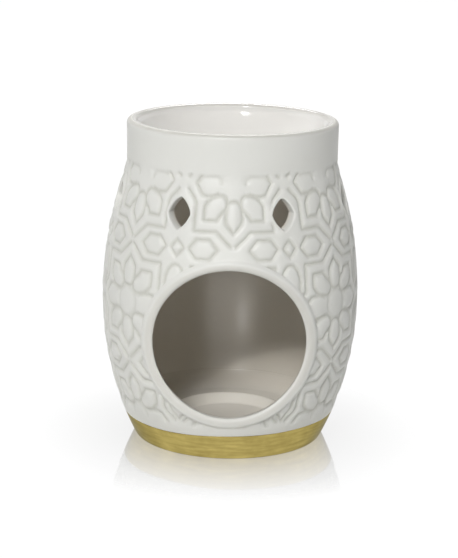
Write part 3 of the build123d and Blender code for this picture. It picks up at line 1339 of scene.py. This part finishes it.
    def plain_areas(self, x: Any, y: Any, z: Any) -> bpy.types.NodeSocket:
        """Areas that the pattern leaves out: the collar, both ends and a worn patch.

        Args:
            x: where a point is to the right.
            y: where it is to the back.
            z: its height.

        Returns:
            Share of the pattern that is left there.
        """
        up = self.math("SUBTRACT", z, self.entry["Window Height"])
        across = self.math("POWER", x, 2.0)
        radius = self.math("SQRT", self.math("ADD", across, self.math("POWER", up, 2.0)))
        edge = self.math("ADD", self.entry["Collar Reach"], self.fade * MM)
        from_collar = self.ramp(radius, self.entry["Collar Reach"], edge, 0.0, 1.0)
        behind = self.math("GREATER_THAN", y, 0.0)
        kept = self.math("MAXIMUM", from_collar, behind)
        low = self.ramp(z, self.pattern_low * MM, (self.pattern_low + self.fade) * MM, 0.0, 1.0)
        high = self.ramp(z, (self.pattern_high - self.fade) * MM, self.pattern_high * MM, 1.0, 0.0)
        squares = []
        for value, centre, reach in zip((x, z), self.patch_centre, self.patch_reach):
            off = self.math("DIVIDE", self.math("SUBTRACT", value, centre * MM), reach * MM)
            squares.append(self.math("POWER", off, 2.0))
        worn = self.ramp(self.math("ADD", *squares), *self.patch_fade, 0.0, 1.0)
        patch = self.math("MAXIMUM", worn, behind)
        ends = self.math("MULTIPLY", low, high)
        return self.math("MULTIPLY", self.math("MULTIPLY", kept, ends), patch)

    def build(self) -> None:
        """Wires the tree from its inputs to its output."""
        tree = self.tree
        join = add_node(tree, "GeometryNodeJoinGeometry")
        tree.links.new(self.entry["Geometry"], join.inputs[0])
        tree.links.new(self.rims(), join.inputs[0])
        near = {"Geometry": join.outputs[0], "Distance": self.merge_gap * MM}
        merged = add_node(tree, "GeometryNodeMergeByDistance", near).outputs[0]
        position = add_node(tree, "GeometryNodeInputPosition").outputs[0]
        x, y, z = add_node(tree, "ShaderNodeSeparateXYZ", {0: position}).outputs
        place = self.folded(x, y, z)
        far = {kind: self.distance(kind, place, self.hidden(kind, z)) for kind in Stroke}
        main = self.math("MAXIMUM", self.groove(far[Stroke.STRAP]), self.groove(far[Stroke.LEAF]))
        soft = self.math("MAXIMUM", self.groove(far[Stroke.HUB]), self.groove(far[Stroke.CAP]))
        soft_share = self.math("DIVIDE", self.entry["Soft Depth"], self.entry["Groove Depth"])
        grooves = self.math("MAXIMUM", main, self.math("MULTIPLY", soft, soft_share))
        nearest = self.math(
            "MINIMUM",
            self.math("MINIMUM", far[Stroke.STRAP], far[Stroke.LEAF]),
            self.math("MINIMUM", far[Stroke.HUB], far[Stroke.CAP]),
        )
        start, end = self.entry["Groove Half Width"], self.pillow_reach * MM
        pillow = self.ramp(nearest, start, end, 0.0, self.entry["Pillow Rise"])
        skin = add_node(
            tree, "GeometryNodeInputNamedAttribute", {"Name": "skin"}, data_type="FLOAT"
        ).outputs[0]
        kept = self.math("MULTIPLY", self.plain_areas(x, y, z), skin)
        pressed = self.math("MULTIPLY", grooves, self.entry["Groove Depth"])
        sunk = self.math("ADD", pressed, self.entry["Pillow Rise"])
        relief = self.math("MULTIPLY", self.math("SUBTRACT", pillow, sunk), kept)
        noise = add_node(
            tree,
            "ShaderNodeTexNoise",
            {
                "Vector": position,
                "W": self.entry["Seed"],
                "Scale": 1 / (self.swell_size * MM),
                "Detail": self.swell_detail,
            },
            noise_dimensions="4D",
        ).outputs[0]
        wave = self.math("MULTIPLY", self.math("SUBTRACT", noise, 0.5), self.entry["Unevenness"])
        rise = self.math("ADD", relief, self.math("MULTIPLY", wave, skin))
        # Groove share stored for the glaze: it greys the grooves, partly for pooled glaze and partly as
        # painted shade.
        pool = add_node(
            tree,
            "GeometryNodeStoreNamedAttribute",
            {"Geometry": merged, "Name": "pool", "Value": self.math("MULTIPLY", grooves, kept)},
            data_type="FLOAT",
            domain="POINT",
        ).outputs[0]
        normal = add_node(tree, "GeometryNodeInputNormal").outputs[0]
        offset = add_node(
            tree, "ShaderNodeVectorMath", {0: normal, "Scale": rise}, operation="SCALE"
        ).outputs[0]
        moved = add_node(tree, "GeometryNodeSetPosition", {"Geometry": pool, "Offset": offset}).outputs[0]
        real = add_node(tree, "GeometryNodeRealizeInstances", {0: moved}).outputs[0]
        dressed = add_node(
            tree, "GeometryNodeSetMaterial", {"Geometry": real, "Material": self.entry["Glaze"]}
        ).outputs[0]
        add_node(tree, "NodeGroupOutput", {0: dressed})

    def values(
        self, rim: bpy.types.Object, strokes: dict[Stroke, bpy.types.Object], glaze: bpy.types.Material
    ) -> dict[str, Any]:
        """Values of the tree's named inputs.

        Args:
            rim: rim of one vent.
            strokes: lines of the pattern, by kind.
            glaze: material of the result.

        Returns:
            Each value by the name of its input.
        """
        return {
            "Vent Rim": rim,
            **{self.stroke_input(kind): helper for kind, helper in strokes.items()},
            "Repeats": self.rosette.repeats,
            "Repeat Width": self.rosette.width * MM,
            "Row Height": self.rosette.row_height * MM,
            "First Row": self.rosette.first_row * MM,
            "Drift": math.radians(self.rosette.drift_deg),
            "Drift Swing": math.radians(self.rosette.drift_swing_deg),
            "Groove Half Width": self.rosette.groove_half_width * MM,
            "Groove Depth": self.groove_depth * MM,
            "Soft Depth": self.soft_depth * MM,
            "Pillow Rise": self.pillow_rise * MM,
            "Window Height": self.window.height * MM,
            "Collar Reach": (self.window.reach - self.fade) * MM,
            "Unevenness": self.unevenness * MM,
            "Seed": self.seed,
            "Glaze": glaze,
        }

    def apply(
        self,
        smooth: bpy.types.Object,
        rim: bpy.types.Object,
        strokes: dict[Stroke, bpy.types.Object],
        glaze: bpy.types.Material,
    ) -> bpy.types.Object:
        """Runs the tree on the smooth pot.

        Args:
            smooth: the pot without its rims and pattern.
            rim: rim of one vent.
            strokes: lines of the pattern, by kind.
            glaze: material of the result.

        Returns:
            A plain mesh object with the result.
        """
        self.build()
        modifier = smooth.modifiers.new("emboss", "NODES")
        modifier.node_group = self.tree
        for name, value in self.values(rim, strokes, glaze).items():
            modifier[self.inputs[name]] = value
        bpy.context.view_layer.update()
        graph = bpy.context.evaluated_depsgraph_get()
        mesh = bpy.data.meshes.new_from_object(smooth.evaluated_get(graph), depsgraph=graph)
        smooth.modifiers.remove(modifier)
        piece = bpy.data.objects.new("pot_result", mesh)
        bpy.context.scene.collection.objects.link(piece)
        return piece


@dataclass(frozen=True)
class OilDish:
    """Bowl in the neck, with the inner half of the lip, in millimetres."""

    form: PotForm
    node: str = "oil_dish"
    depth: float = 22.6
    floor_radius: float = 5.0
    floor_row_shares: tuple[float, ...] = (0.5, 0.85)
    wall: float = 3.4
    tuck: float = 0.15
    tuck_drop: float = 0.8
    bowl_rows: int = 30
    lip_rows: int = 9
    under_rows: int = 20
    segments: int = 240

    def arc(self, radius: float, turns: np.ndarray, height: float) -> list[tuple[float, float]]:
        """Places on an arc of the bowl's section.

        Args:
            radius: radius of the arc.
            turns: angles of the places from level.
            height: height of the arc's centre.

        Returns:
            Radii and heights.
        """
        return [
            (self.floor_radius + radius * math.cos(turn), height + radius * math.sin(turn))
            for turn in turns
        ]

    def outline(self) -> Flat:
        """Half section of the dish.

        Returns:
            Radii and heights from the middle of the floor, over the lip, to the middle
            underneath.
        """
        form = self.form
        rim = form.lip_radius - form.lip_wall
        floor = form.height - self.depth
        bow = (self.depth**2 + (rim - self.floor_radius) ** 2) / (2 * self.depth)
        lip_low = form.height - form.lip_round
        points = [(self.floor_radius * share, floor) for share in (0.0, *self.floor_row_shares)]
        end = math.asin((lip_low - floor - bow) / bow)
        points += self.arc(bow, np.linspace(-math.pi / 2, end, self.bowl_rows), floor + bow)
        for turn in np.linspace(math.pi, math.pi / 2, self.lip_rows)[1:]:
            radius = rim + form.lip_round * (1 + math.cos(turn))
            points.append((radius, lip_low + form.lip_round * math.sin(turn)))
        ledge = form.height - form.ledge_depth
        points.append((form.joint_radius, form.height))
        points.append((form.joint_radius - self.tuck, form.height - self.tuck_drop))
        points.append((form.joint_radius - self.tuck, ledge))
        outer = bow + self.wall
        rise = floor + bow - ledge
        points.append((self.floor_radius + math.sqrt(outer**2 - rise**2), ledge))
        turns = np.linspace(-math.asin(rise / outer), -math.pi / 2, self.under_rows)[1:]
        points += self.arc(outer, turns, floor + bow)
        points.append((0.0, floor - self.wall))
        return np.array(points)

    def build(self, glaze: bpy.types.Material) -> bpy.types.Object:
        """Makes the dish.

        Args:
            glaze: its material.

        Returns:
            The piece, which stands for the CAD node.
        """
        sketch = MeshSketch()
        # The dish's half of the lip's crown is darkened by the edge mark, as painted shade.
        turn_outline(sketch, self.outline(), self.segments, edge_of=self.form.lip_crown_shade)
        piece = sketch.object(self.node + "_glazed", [glaze])
        stand_in(piece, self.node)
        return piece


@dataclass(frozen=True)
class TealightFloor:
    """Floor of the chamber with its recess and the rim that sweeps up into the wall."""

    form: PotForm
    node: str = "tealight_floor"
    segments: int = 240
    floor: float = 8.0
    thickness: float = 3.5
    recess_radius: float = 19.5
    recess_floor: float = 4.8
    recess_round: float = 1.6
    slope: float = 1.7
    crest_width: float = 2.4
    crest_rise: float = 0.7
    crest_swell: float = 0.5
    crest_round: float = 2.4
    crest_foot_share: float = 1.4
    crest_foot_round: float = 1.4
    sweep: float = 9.6
    sweep_rows: int = 16
    rim_rise: float = 3.4
    rim_drop: float = 0.3
    rim_foot: float = 2.0
    rim_rows: int = 4
    brim_gap: float = 0.02
    gap: float = 0.15
    ledge_radius: float = 36.2
    ledge_round: float = 0.4
    under_round: float = 0.8
    chamber_start: float = 30.0
    chamber_full: float = 39.5

    def top(self) -> list[tuple[float, float, float]]:
        """Upper side, from the middle of the recess over its crest to the end of the flat floor.

        Returns:
            Radius, height and rounding of each corner.
        """
        crest = self.recess_radius + self.slope
        crest_top = self.floor + self.crest_rise + self.crest_swell
        crest_foot = crest + self.crest_width * self.crest_foot_share
        return [
            (0.0, self.recess_floor, 0.0),
            (self.recess_radius / 2, self.recess_floor, 0.0),
            (self.recess_radius, self.recess_floor, self.recess_round),
            (crest + self.crest_width / 2, crest_top, self.crest_round),
            (crest_foot, self.floor, self.crest_foot_round),
            (self.brim() - self.sweep, self.floor, 0.0),
        ]

    def brim(self) -> float:
        """Radius of the thin edge in which the rim ends on the pot's wall."""
        form = self.form
        high = form.seam_height + self.rim_rise
        return float(form.bow(np.array(high), form.wall)) - self.brim_gap

    def rim(self) -> Flat:
        """Sweep from the flat floor up to the brim, and down again along the pot's wall.

        Returns:
            Its radii and heights.
        """
        form, start = self.form, self.brim() - self.sweep
        seam, foot = form.seam_height, form.seat_radius - self.gap
        high = seam + self.rim_rise
        rise = high - self.floor
        bend = (self.sweep**2 + rise**2) / (2 * rise)
        turns = np.linspace(0, math.asin(min(1.0, self.sweep / bend)), self.sweep_rows)[1:]
        swept = np.stack(
            [start + bend * np.sin(turns), self.floor + bend * (1 - np.cos(turns))], axis=-1
        )
        outside = [
            (max(float(form.bow(np.array(height), form.wall + self.gap)), foot), float(height))
            for height in np.linspace(high - self.rim_drop, seam + self.rim_foot, self.rim_rows)
        ]
        return np.concatenate([swept, np.array(outside)])

    def below(self) -> list[tuple[float, float, float]]:
        """Underside, from its seat on the foot ring to the middle.

        Returns:
            Radius, height and rounding of each corner.
        """
        crest = self.recess_radius + self.slope
        under = self.recess_floor - self.thickness
        ledge = self.floor - self.thickness
        return [
            (self.form.seat_radius - self.gap, self.form.seam_height, 0.0),
            (self.ledge_radius - self.gap, ledge, self.ledge_round),
            (crest + self.crest_width, ledge, self.under_round),
            (crest, under, self.under_round),
            (0.0, under, 0.0),
        ]

    def chamber_share(self, radius: float, height: float) -> float:
        """How far a place has the chamber's glaze, so that the floor runs into the wall."""
        return float(smooth_step(np.array(radius), self.chamber_start, self.chamber_full))

    def build(self, glaze: bpy.types.Material) -> bpy.types.Object:
        """Makes the floor.

        Args:
            glaze: its material.

        Returns:
            The piece, which stands for the CAD node.
        """
        top, below = (rounded_outline(part, closed=False) for part in (self.top(), self.below()))
        outline = np.concatenate([top, self.rim(), below])
        sketch = MeshSketch()
        turn_outline(sketch, outline, self.segments, inner_of=self.chamber_share)
        piece = sketch.object(self.node + "_glazed", [glaze])
        stand_in(piece, self.node)
        return piece


class FootSlot(IntEnum):
    """Material slots of the foot ring."""

    GOLD = 0
    CLAY = 1


@dataclass(frozen=True)
class FootRing:
    """Ring that the burner stands on, gilded outside and bare underneath, in millimetres."""

    form: PotForm
    node: str = "foot_ring"
    segments: int = 420
    rounding: float = 1.0
    tread_width: float = 5.0
    tread_round: float = 0.3
    tread_tuck: float = 0.15
    ledge_width: float = 2.6
    ledge_height: float = 4.5
    ledge_round: float = 0.2
    face_rows: int = 12
    face_start: float = 1.3
    face_drop: float = 0.25
    top_tuck: float = 0.05
    lift_start: float = 5.0
    bare_margin: float = 1.1
    bare_height: float = 0.05

    @property
    def bore(self) -> float:
        """Radius of the hole in the ring."""
        return self.form.foot_radius - self.tread_width

    def outline(self) -> Flat:
        """Closed half section of the ring.

        Returns:
            Its radii and heights.
        """
        form, high = self.form, self.form.seam_height
        levels = np.linspace(self.face_start, high - self.face_drop, self.face_rows)
        face = [(float(form.radius(np.array(level))), float(level), 0.0) for level in levels]
        corners = [
            (self.bore, 0.0, self.tread_round),
            (form.foot_radius - self.tread_tuck, 0.0, self.rounding),
            *face,
            (float(form.radius(np.array(high))) - self.top_tuck, high, self.ledge_round),
            (form.seat_radius, high, 0.0),
            (self.bore + self.ledge_width, self.ledge_height, self.ledge_round),
            (self.bore, self.ledge_height, self.ledge_round),
        ]
        return rounded_outline(corners, closed=True)

    def shifted(
        self, radius: np.ndarray, height: np.ndarray, angle: np.ndarray
    ) -> tuple[np.ndarray, np.ndarray]:
        """Lifts the top of the ring to the hand-painted edge of the gilding.

        Args:
            radius: radii of a ring of points.
            height: their heights.
            angle: their angles from the front.

        Returns:
            Their new radii and heights.
        """
        form = self.form
        rising = smooth_step(height, self.lift_start, form.seam_height)
        raised = height + (form.seam(angle) - form.seam_height) * rising
        return radius + form.radius(raised) - form.radius(height), raised

    def slot_of(self, radius: float, height: float) -> FootSlot:
        """Bare clay on the tread and in the bore, and gold on the rest."""
        bare = radius < self.form.foot_radius - self.bare_margin or height < self.bare_height
        return FootSlot.CLAY if bare else FootSlot.GOLD

    def build(self, gold: bpy.types.Material, clay: bpy.types.Material) -> bpy.types.Object:
        """Makes the ring.

        Args:
            gold: material of its face.
            clay: material of its tread and bore.

        Returns:
            The piece, which stands for the CAD node.
        """
        sketch = MeshSketch()
        turn_outline(sketch, self.outline(), self.segments, True, self.shifted, self.slot_of)
        piece = sketch.object(self.node + "_gilded", [gold, clay])
        stand_in(piece, self.node)
        return piece


def linear(colour: str) -> tuple[float, float, float, float]:
    """Linear colour of an sRGB hex value."""
    parts = [int(colour[start : start + 2], 16) / 255 for start in (1, 3, 5)]
    values = [part / 12.92 if part <= 0.04045 else ((part + 0.055) / 1.055) ** 2.4 for part in parts]
    return (*values, 1.0)


def new_material(name: str) -> tuple[bpy.types.Material, bpy.types.NodeTree]:
    """Makes a node material with nothing in it.

    Args:
        name: name of the material.

    Returns:
        The material and its tree.
    """
    material = bpy.data.materials.new(name)
    material.use_nodes = True
    material.node_tree.nodes.clear()
    return material, material.node_tree


def object_place(tree: bpy.types.NodeTree) -> bpy.types.NodeSocket:
    """Object coordinates, which are metres in the part's frame."""
    return add_node(tree, "ShaderNodeTexCoord").outputs["Object"]


def noise(
    tree: bpy.types.NodeTree,
    place: bpy.types.NodeSocket,
    size_mm: float,
    detail: float,
    roughness: float = 0.5,
) -> bpy.types.NodeSocket:
    """Even noise.

    Args:
        tree: tree of the material.
        place: where the noise is read.
        size_mm: size of its lumps in millimetres.
        detail: number of finer layers.
        roughness: strength of the finer layers.

    Returns:
        Its value.
    """
    inputs = {"Vector": place, "Scale": 1 / (size_mm * MM), "Detail": detail, "Roughness": roughness}
    return add_node(tree, "ShaderNodeTexNoise", inputs).outputs[0]


def blend(
    tree: bpy.types.NodeTree, share: bpy.types.NodeSocket, first: Any, second: str
) -> bpy.types.NodeSocket:
    """Blend of two colours.

    Args:
        tree: tree of the material.
        share: share of the second colour.
        first: hex value, or the socket of a colour.
        second: hex value.

    Returns:
        The blended colour.
    """
    start = linear(first) if isinstance(first, str) else first
    inputs = {"Factor": share, "A": start, "B": linear(second)}
    return add_node(tree, "ShaderNodeMix", inputs, data_type="RGBA").outputs["Result"]


def spanned(
    tree: bpy.types.NodeTree,
    value: bpy.types.NodeSocket,
    span: tuple[float, float],
    ends: tuple[float, float] = (0.0, 1.0),
) -> bpy.types.NodeSocket:
    """Maps a value from a span onto another.

    Args:
        tree: tree of the material.
        value: what is mapped.
        span: where the value starts and ends.
        ends: what the result is at the two.

    Returns:
        The result, which stays between the ends.
    """
    inputs = {"Value": value, 1: span[0], 2: span[1], 3: ends[0], 4: ends[1]}
    return add_node(tree, "ShaderNodeMapRange", inputs).outputs[0]


def bumped(
    tree: bpy.types.NodeTree, height: bpy.types.NodeSocket, rise_mm: float
) -> bpy.types.NodeSocket:
    """Normal of a skin that rises and falls by a height, in millimetres at its most."""
    return add_node(tree, "ShaderNodeBump", {"Height": height, "Distance": rise_mm * MM}).outputs[0]


def dressed(
    material: bpy.types.Material, tree: bpy.types.NodeTree, inputs: dict[str, Any]
) -> bpy.types.Material:
    """Ends a material's tree in a principled shader with these inputs."""
    shader = add_node(tree, "ShaderNodeBsdfPrincipled", inputs)
    add_node(tree, "ShaderNodeOutputMaterial", {"Surface": shader.outputs[0]})
    return material


@dataclass(frozen=True)
class GlazeFinish:
    """White glaze fired on cast earthenware.

    To the eye it is a soft satin white, a little wavy and cloudy some centimetres across. Its
    grooves are painted greyer, partly for glaze pooled thicker there and partly as painted shade.
    The crown of the lip is painted darker as painted shade, and the collar's inner slope is darker.
    In the chamber it is creamier and glossier.
    """

    name: str = "white_gloss_glaze"
    colour: str = "#DEDEDA"
    cloud_colour: str = "#DBDBD5"
    # Grey of the grooves: partly glaze pooled thicker, partly painted shade in the grooves.
    pooled_glaze_and_shade_colour: str = "#C6C6BE"
    roughness: float = 0.46
    roughness_spread: float = 0.06
    cloud_span: tuple[float, float] = (0.3, 0.7)
    ior: float = 1.5
    ripple_mm: float = 3.0
    ripple_rise_mm: float = 0.03
    cloud_mm: float = 22.0
    inner_colour: str = "#DCD6CB"
    inner_roughness: float = 0.22
    # Colour of the edge mark: painted shade on the crown of the lip, and the darker inner slope of the
    # window's collar.
    edge_colour: str = "#BEBAB0"
    edge_share: float = 0.6

    @staticmethod
    def mark(tree: bpy.types.NodeTree, name: str) -> bpy.types.NodeSocket:
        """Value of a named mark on the mesh."""
        settings = {"attribute_name": name, "attribute_type": "GEOMETRY"}
        return add_node(tree, "ShaderNodeAttribute", **settings).outputs["Fac"]

    def material(self) -> bpy.types.Material:
        """Builds the glaze.

        Returns:
            The material.
        """
        material, tree = new_material(self.name)
        place = object_place(tree)
        cloud = noise(tree, place, self.cloud_mm, 3.0)
        colour = blend(tree, cloud, self.colour, self.cloud_colour)
        half = self.roughness_spread / 2
        ends = (self.roughness - half, self.roughness + half)
        gloss = spanned(tree, cloud, self.cloud_span, ends)
        # The edge mark darkens the lip's crown, as painted shade, and the collar's inner slope.
        edge = calculated(tree, "MULTIPLY", self.mark(tree, "edge"), self.edge_share)
        colour = blend(tree, edge, colour, self.edge_colour)
        # Grooves greyed, partly for pooled glaze and partly as painted shade.
        colour = blend(tree, self.mark(tree, "pool"), colour, self.pooled_glaze_and_shade_colour)
        inner = self.mark(tree, "inner")
        colour = blend(tree, inner, colour, self.inner_colour)
        gloss = add_node(
            tree, "ShaderNodeMix", {"Factor": inner, "A": gloss, "B": self.inner_roughness}
        ).outputs["Result"]
        ripple = bumped(tree, noise(tree, place, self.ripple_mm, 1.5), self.ripple_rise_mm)
        inputs = {"Base Color": colour, "Roughness": gloss, "IOR": self.ior, "Normal": ripple}
        return dressed(material, tree, inputs)


@dataclass(frozen=True)
class LustreFinish:
    """Gold lustre painted over the glaze and fired.

    To the eye it is a satin metal with brush streaks round the foot, thinner and darker in
    patches, and paler where it is seen at a slant.
    """

    name: str = "gold_lustre"
    colour: str = "#BFAD68"
    thin_colour: str = "#A08F52"
    rim_colour: str = "#ADB2B8"
    roughness: float = 0.36
    roughness_spread: float = 0.06
    streak_span: tuple[float, float] = (0.3, 0.7)
    streak_mm: float = 1.2
    streak_squash: tuple[float, float, float] = (0.12, 0.12, 1.0)
    patch_mm: float = 9.0
    patch_span: tuple[float, float] = (0.12, 0.4)
    streak_rise_mm: float = 0.006

    def material(self) -> bpy.types.Material:
        """Builds the lustre.

        Returns:
            The material.
        """
        material, tree = new_material(self.name)
        place = object_place(tree)
        squashed = {"Vector": place, "Scale": self.streak_squash}
        streak_place = add_node(tree, "ShaderNodeMapping", squashed).outputs[0]
        streak = noise(tree, streak_place, self.streak_mm, 3.0)
        patch = noise(tree, place, self.patch_mm, 4.0, 0.6)
        thick = spanned(tree, calculated(tree, "MULTIPLY", streak, patch), self.patch_span)
        half = self.roughness_spread / 2
        ends = (self.roughness + half, self.roughness - half)
        inputs = {
            "Base Color": blend(tree, thick, self.thin_colour, self.colour),
            "Roughness": spanned(tree, streak, self.streak_span, ends),
            "Metallic": 1.0,
            "Specular Tint": linear(self.rim_colour),
            "Normal": bumped(tree, streak, self.streak_rise_mm),
        }
        return dressed(material, tree, inputs)


@dataclass(frozen=True)
class BiscuitFinish:
    """Bare fired clay, wiped free of glaze.

    To the eye it is matt, warm, fine-grained and a little speckled.
    """

    name: str = "bare_biscuit_clay"
    colour: str = "#D9D2C4"
    speck_colour: str = "#B7AC99"
    speck_span: tuple[float, float] = (0.55, 0.75)
    roughness: float = 0.85
    grain_mm: float = 0.5
    grain_rise_mm: float = 0.05

    def material(self) -> bpy.types.Material:
        """Builds the clay.

        Returns:
            The material.
        """
        material, tree = new_material(self.name)
        grain = noise(tree, object_place(tree), self.grain_mm, 4.0, 0.7)
        speck = spanned(tree, grain, self.speck_span)
        inputs = {
            "Base Color": blend(tree, speck, self.colour, self.speck_colour),
            "Roughness": self.roughness,
            "Normal": bumped(tree, grain, self.grain_rise_mm),
        }
        return dressed(material, tree, inputs)


@dataclass(frozen=True)
class Lamp:
    """Lamp of the studio, in metres and watts. Its bearing is from the front, + to the right."""

    name: str
    bearing_deg: float
    elevation_deg: float
    power: float
    distance: float = 1.3
    target: tuple[float, float, float] = (0.0, 0.0, 0.07)

    def light(self) -> bpy.types.Light:
        """Light that the lamp holds."""
        raise NotImplementedError

    def build(self) -> None:
        """Places the lamp and turns it to what it faces."""
        bearing, rise = math.radians(self.bearing_deg), math.radians(self.elevation_deg)
        reach = self.distance * math.cos(rise)
        offset = Vector((reach * math.sin(bearing), -reach * math.cos(bearing), 0))
        offset.z = self.distance * math.sin(rise)
        light = self.light()
        light.energy = self.power
        lamp = bpy.data.objects.new(self.name, light)
        lamp.location = Vector(self.target) + offset
        lamp.rotation_euler = (-offset).to_track_quat("-Z", "Y").to_euler()
        bpy.context.scene.collection.objects.link(lamp)


@dataclass(frozen=True)
class SoftBox(Lamp):
    """Soft box that faces the middle of the pot."""

    side: float = 0.28

    def light(self) -> bpy.types.Light:
        """Makes the square area light.

        Returns:
            The light.
        """
        data = bpy.data.lights.new(self.name, "AREA")
        data.shape = "RECTANGLE"
        data.size, data.size_y = self.side, self.side
        return data


@dataclass(frozen=True)
class Snoot(Lamp):
    """Narrow spot through the window onto the floor of the chamber."""

    target: tuple[float, float, float] = (0.014, 0.019, 0.006)
    beam_deg: float = 2.1
    softness: float = 1.0
    radius: float = 0.03

    def light(self) -> bpy.types.Light:
        """Makes the spot light with its soft edge.

        Returns:
            The light.
        """
        data = bpy.data.lights.new(self.name, "SPOT")
        data.spot_size = math.radians(self.beam_deg)
        data.spot_blend = self.softness
        data.shadow_soft_size = self.radius
        return data


@dataclass(frozen=True)
class Studio:
    """White polished floor and backdrop, lamps, and the photograph's camera, in metres."""

    focal_px: float = 1850.6
    frame_px: int = 558
    sensor_mm: float = 36.0
    clip_start: float = 0.01
    camera_place: tuple[float, float, float] = (-0.000516, -0.7386, 0.24896)
    pitch_deg: float = 14.02
    roll_deg: float = 0.979
    floor_size: float = 6.0
    ambient: float = 0.04
    floor_colour: str = "#F0F0EF"
    floor_glow: float = 1.045
    glow_share: float = 0.96
    polish_span: tuple[float, float] = (0.036, 0.088)
    polish_share: float = 0.69
    polish_roughness: float = 0.06

    def camera(self) -> None:
        """Places the camera where the photograph was taken from."""
        data = bpy.data.cameras.new("photo_camera")
        data.sensor_width = self.sensor_mm
        data.lens = self.focal_px * self.sensor_mm / self.frame_px
        data.clip_start = self.clip_start
        pitch, roll = math.radians(self.pitch_deg), math.radians(self.roll_deg)
        look = Vector((0, math.cos(pitch), -math.sin(pitch)))
        level = Vector((1, 0, 0))
        upright = level.cross(look)
        right = level * math.cos(roll) + upright * math.sin(roll)
        up = upright * math.cos(roll) - level * math.sin(roll)
        turn = Matrix((right, up, -look)).transposed()
        camera = bpy.data.objects.new("photo_camera", data)
        camera.matrix_world = Matrix.Translation(self.camera_place) @ turn.to_4x4()
        bpy.context.scene.collection.objects.link(camera)
        bpy.context.scene.camera = camera

    def seen(self, tree: bpy.types.NodeTree) -> bpy.types.NodeSocket:
        """1 for rays from the camera and from glossy or clear surfaces."""
        path = add_node(tree, "ShaderNodeLightPath").outputs
        gloss = calculated(tree, "MAXIMUM", path["Is Glossy Ray"], path["Is Transmission Ray"])
        return calculated(tree, "MAXIMUM", path["Is Camera Ray"], gloss)

    def world(self) -> None:
        """White backdrop that lights the object at a lower, even level."""
        world = bpy.data.worlds.new("white_backdrop")
        bpy.context.scene.world = world
        world.use_nodes = True
        tree = world.node_tree
        tree.nodes.clear()
        strength = spanned(tree, self.seen(tree), (0.0, 1.0), (self.ambient, 1.0))
        back = add_node(
            tree, "ShaderNodeBackground", {"Color": (1.0, 1.0, 1.0, 1.0), "Strength": strength}
        )
        add_node(tree, "ShaderNodeOutputWorld", {"Surface": back.outputs[0]})

    def floor_material(self) -> bpy.types.Material:
        """White floor with a faint shadow, polished round the pot, whose image fades with depth.

        Returns:
            The material.
        """
        material, tree = new_material("polished_white_floor")
        matt = add_node(tree, "ShaderNodeBsdfDiffuse", {"Color": linear(self.floor_colour)})
        glow = add_node(tree, "ShaderNodeEmission", {"Strength": self.floor_glow})
        share = calculated(tree, "MULTIPLY", self.seen(tree), self.glow_share)
        white = add_node(
            tree, "ShaderNodeMixShader", {0: share, 1: matt.outputs[0], 2: glow.outputs[0]}
        )
        place = object_place(tree)
        away = add_node(tree, "ShaderNodeVectorMath", {0: place}, operation="LENGTH")
        polish = spanned(tree, away.outputs["Value"], self.polish_span, (self.polish_share, 0.0))
        direct = add_node(tree, "ShaderNodeLightPath").outputs["Is Camera Ray"]
        shown = calculated(tree, "MULTIPLY", polish, direct)
        mirror = add_node(tree, "ShaderNodeBsdfGlossy", {"Roughness": self.polish_roughness})
        shader = add_node(
            tree, "ShaderNodeMixShader", {0: shown, 1: white.outputs[0], 2: mirror.outputs[0]}
        )
        add_node(tree, "ShaderNodeOutputMaterial", {"Surface": shader.outputs[0]})
        return material

    def floor(self) -> None:
        """Lays the floor under the pot."""
        mesh = bpy.data.meshes.new("studio_floor")
        half = self.floor_size / 2
        corners = [(-half, -half, 0), (half, -half, 0), (half, half, 0), (-half, half, 0)]
        mesh.from_pydata(corners, [], [(0, 1, 2, 3)])
        floor = bpy.data.objects.new("studio_floor", mesh)
        bpy.context.scene.collection.objects.link(floor)
        mesh.materials.append(self.floor_material())

    def lamps(self) -> None:
        """Sets up the key from the front left, its gleams, and fills at the side and behind."""
        SoftBox("key_box", -14, 35, 9.6).build()
        SoftBox("gleam_box", -20, 49, 1.1, side=0.17).build()
        SoftBox("right_box", 85, 20, 1.6, side=0.7).build()
        SoftBox("back_box", 180, 45, 8.0, side=0.6).build()
        SoftBox("back_left_box", -120, 30, 2.6, side=1.0).build()
        SoftBox("front_panel", -13.5, 3, 0.7, side=0.2).build()
        SoftBox("vent_box", -18, 46, 0.7, side=0.15).build()
        Snoot("chamber_snoot", -13.5, 32.5, 27.0).build()

    def build(self) -> None:
        """Sets up the whole studio."""
        self.camera()
        self.world()
        self.floor()
        self.lamps()
        bpy.context.scene.view_settings.view_transform = "Standard"


def report(piece: bpy.types.Object) -> None:
    """Logs a piece's name and its number of triangles."""
    piece.data.calc_loop_triangles()
    LOG.info("%s: %d triangles", piece.name, len(piece.data.loop_triangles))


def main() -> None:
    """Builds the studio and the four castings."""
    logging.basicConfig(level=logging.INFO, format="%(name)s %(message)s")
    Studio().build()
    form = PotForm.from_frame()
    glaze = GlazeFinish().material()
    # The dish and the floor shine like wet glass. Their colours are painted lighter than the pot's glaze:
    # painted light, where they face up to the lamps.
    dish_glaze_painted_light = GlazeFinish(
        name="white_dish_glaze", colour="#EDEBE7", cloud_colour="#E8E6E1", roughness=0.12
    ).material()
    floor_glaze_painted_light = GlazeFinish(
        name="white_floor_glaze", colour="#E6E2DA", cloud_colour="#E0DCD3", roughness=0.16
    ).material()
    gold = LustreFinish().material()
    clay = BiscuitFinish().material()
    report(PotBody(form, Rosette(), Window(), Vent()).build(glaze))
    report(OilDish(form).build(dish_glaze_painted_light))
    report(TealightFloor(form).build(floor_glaze_painted_light))
    report(FootRing(form).build(gold, clay))
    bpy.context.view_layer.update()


if __name__ == "__main__":
    main()
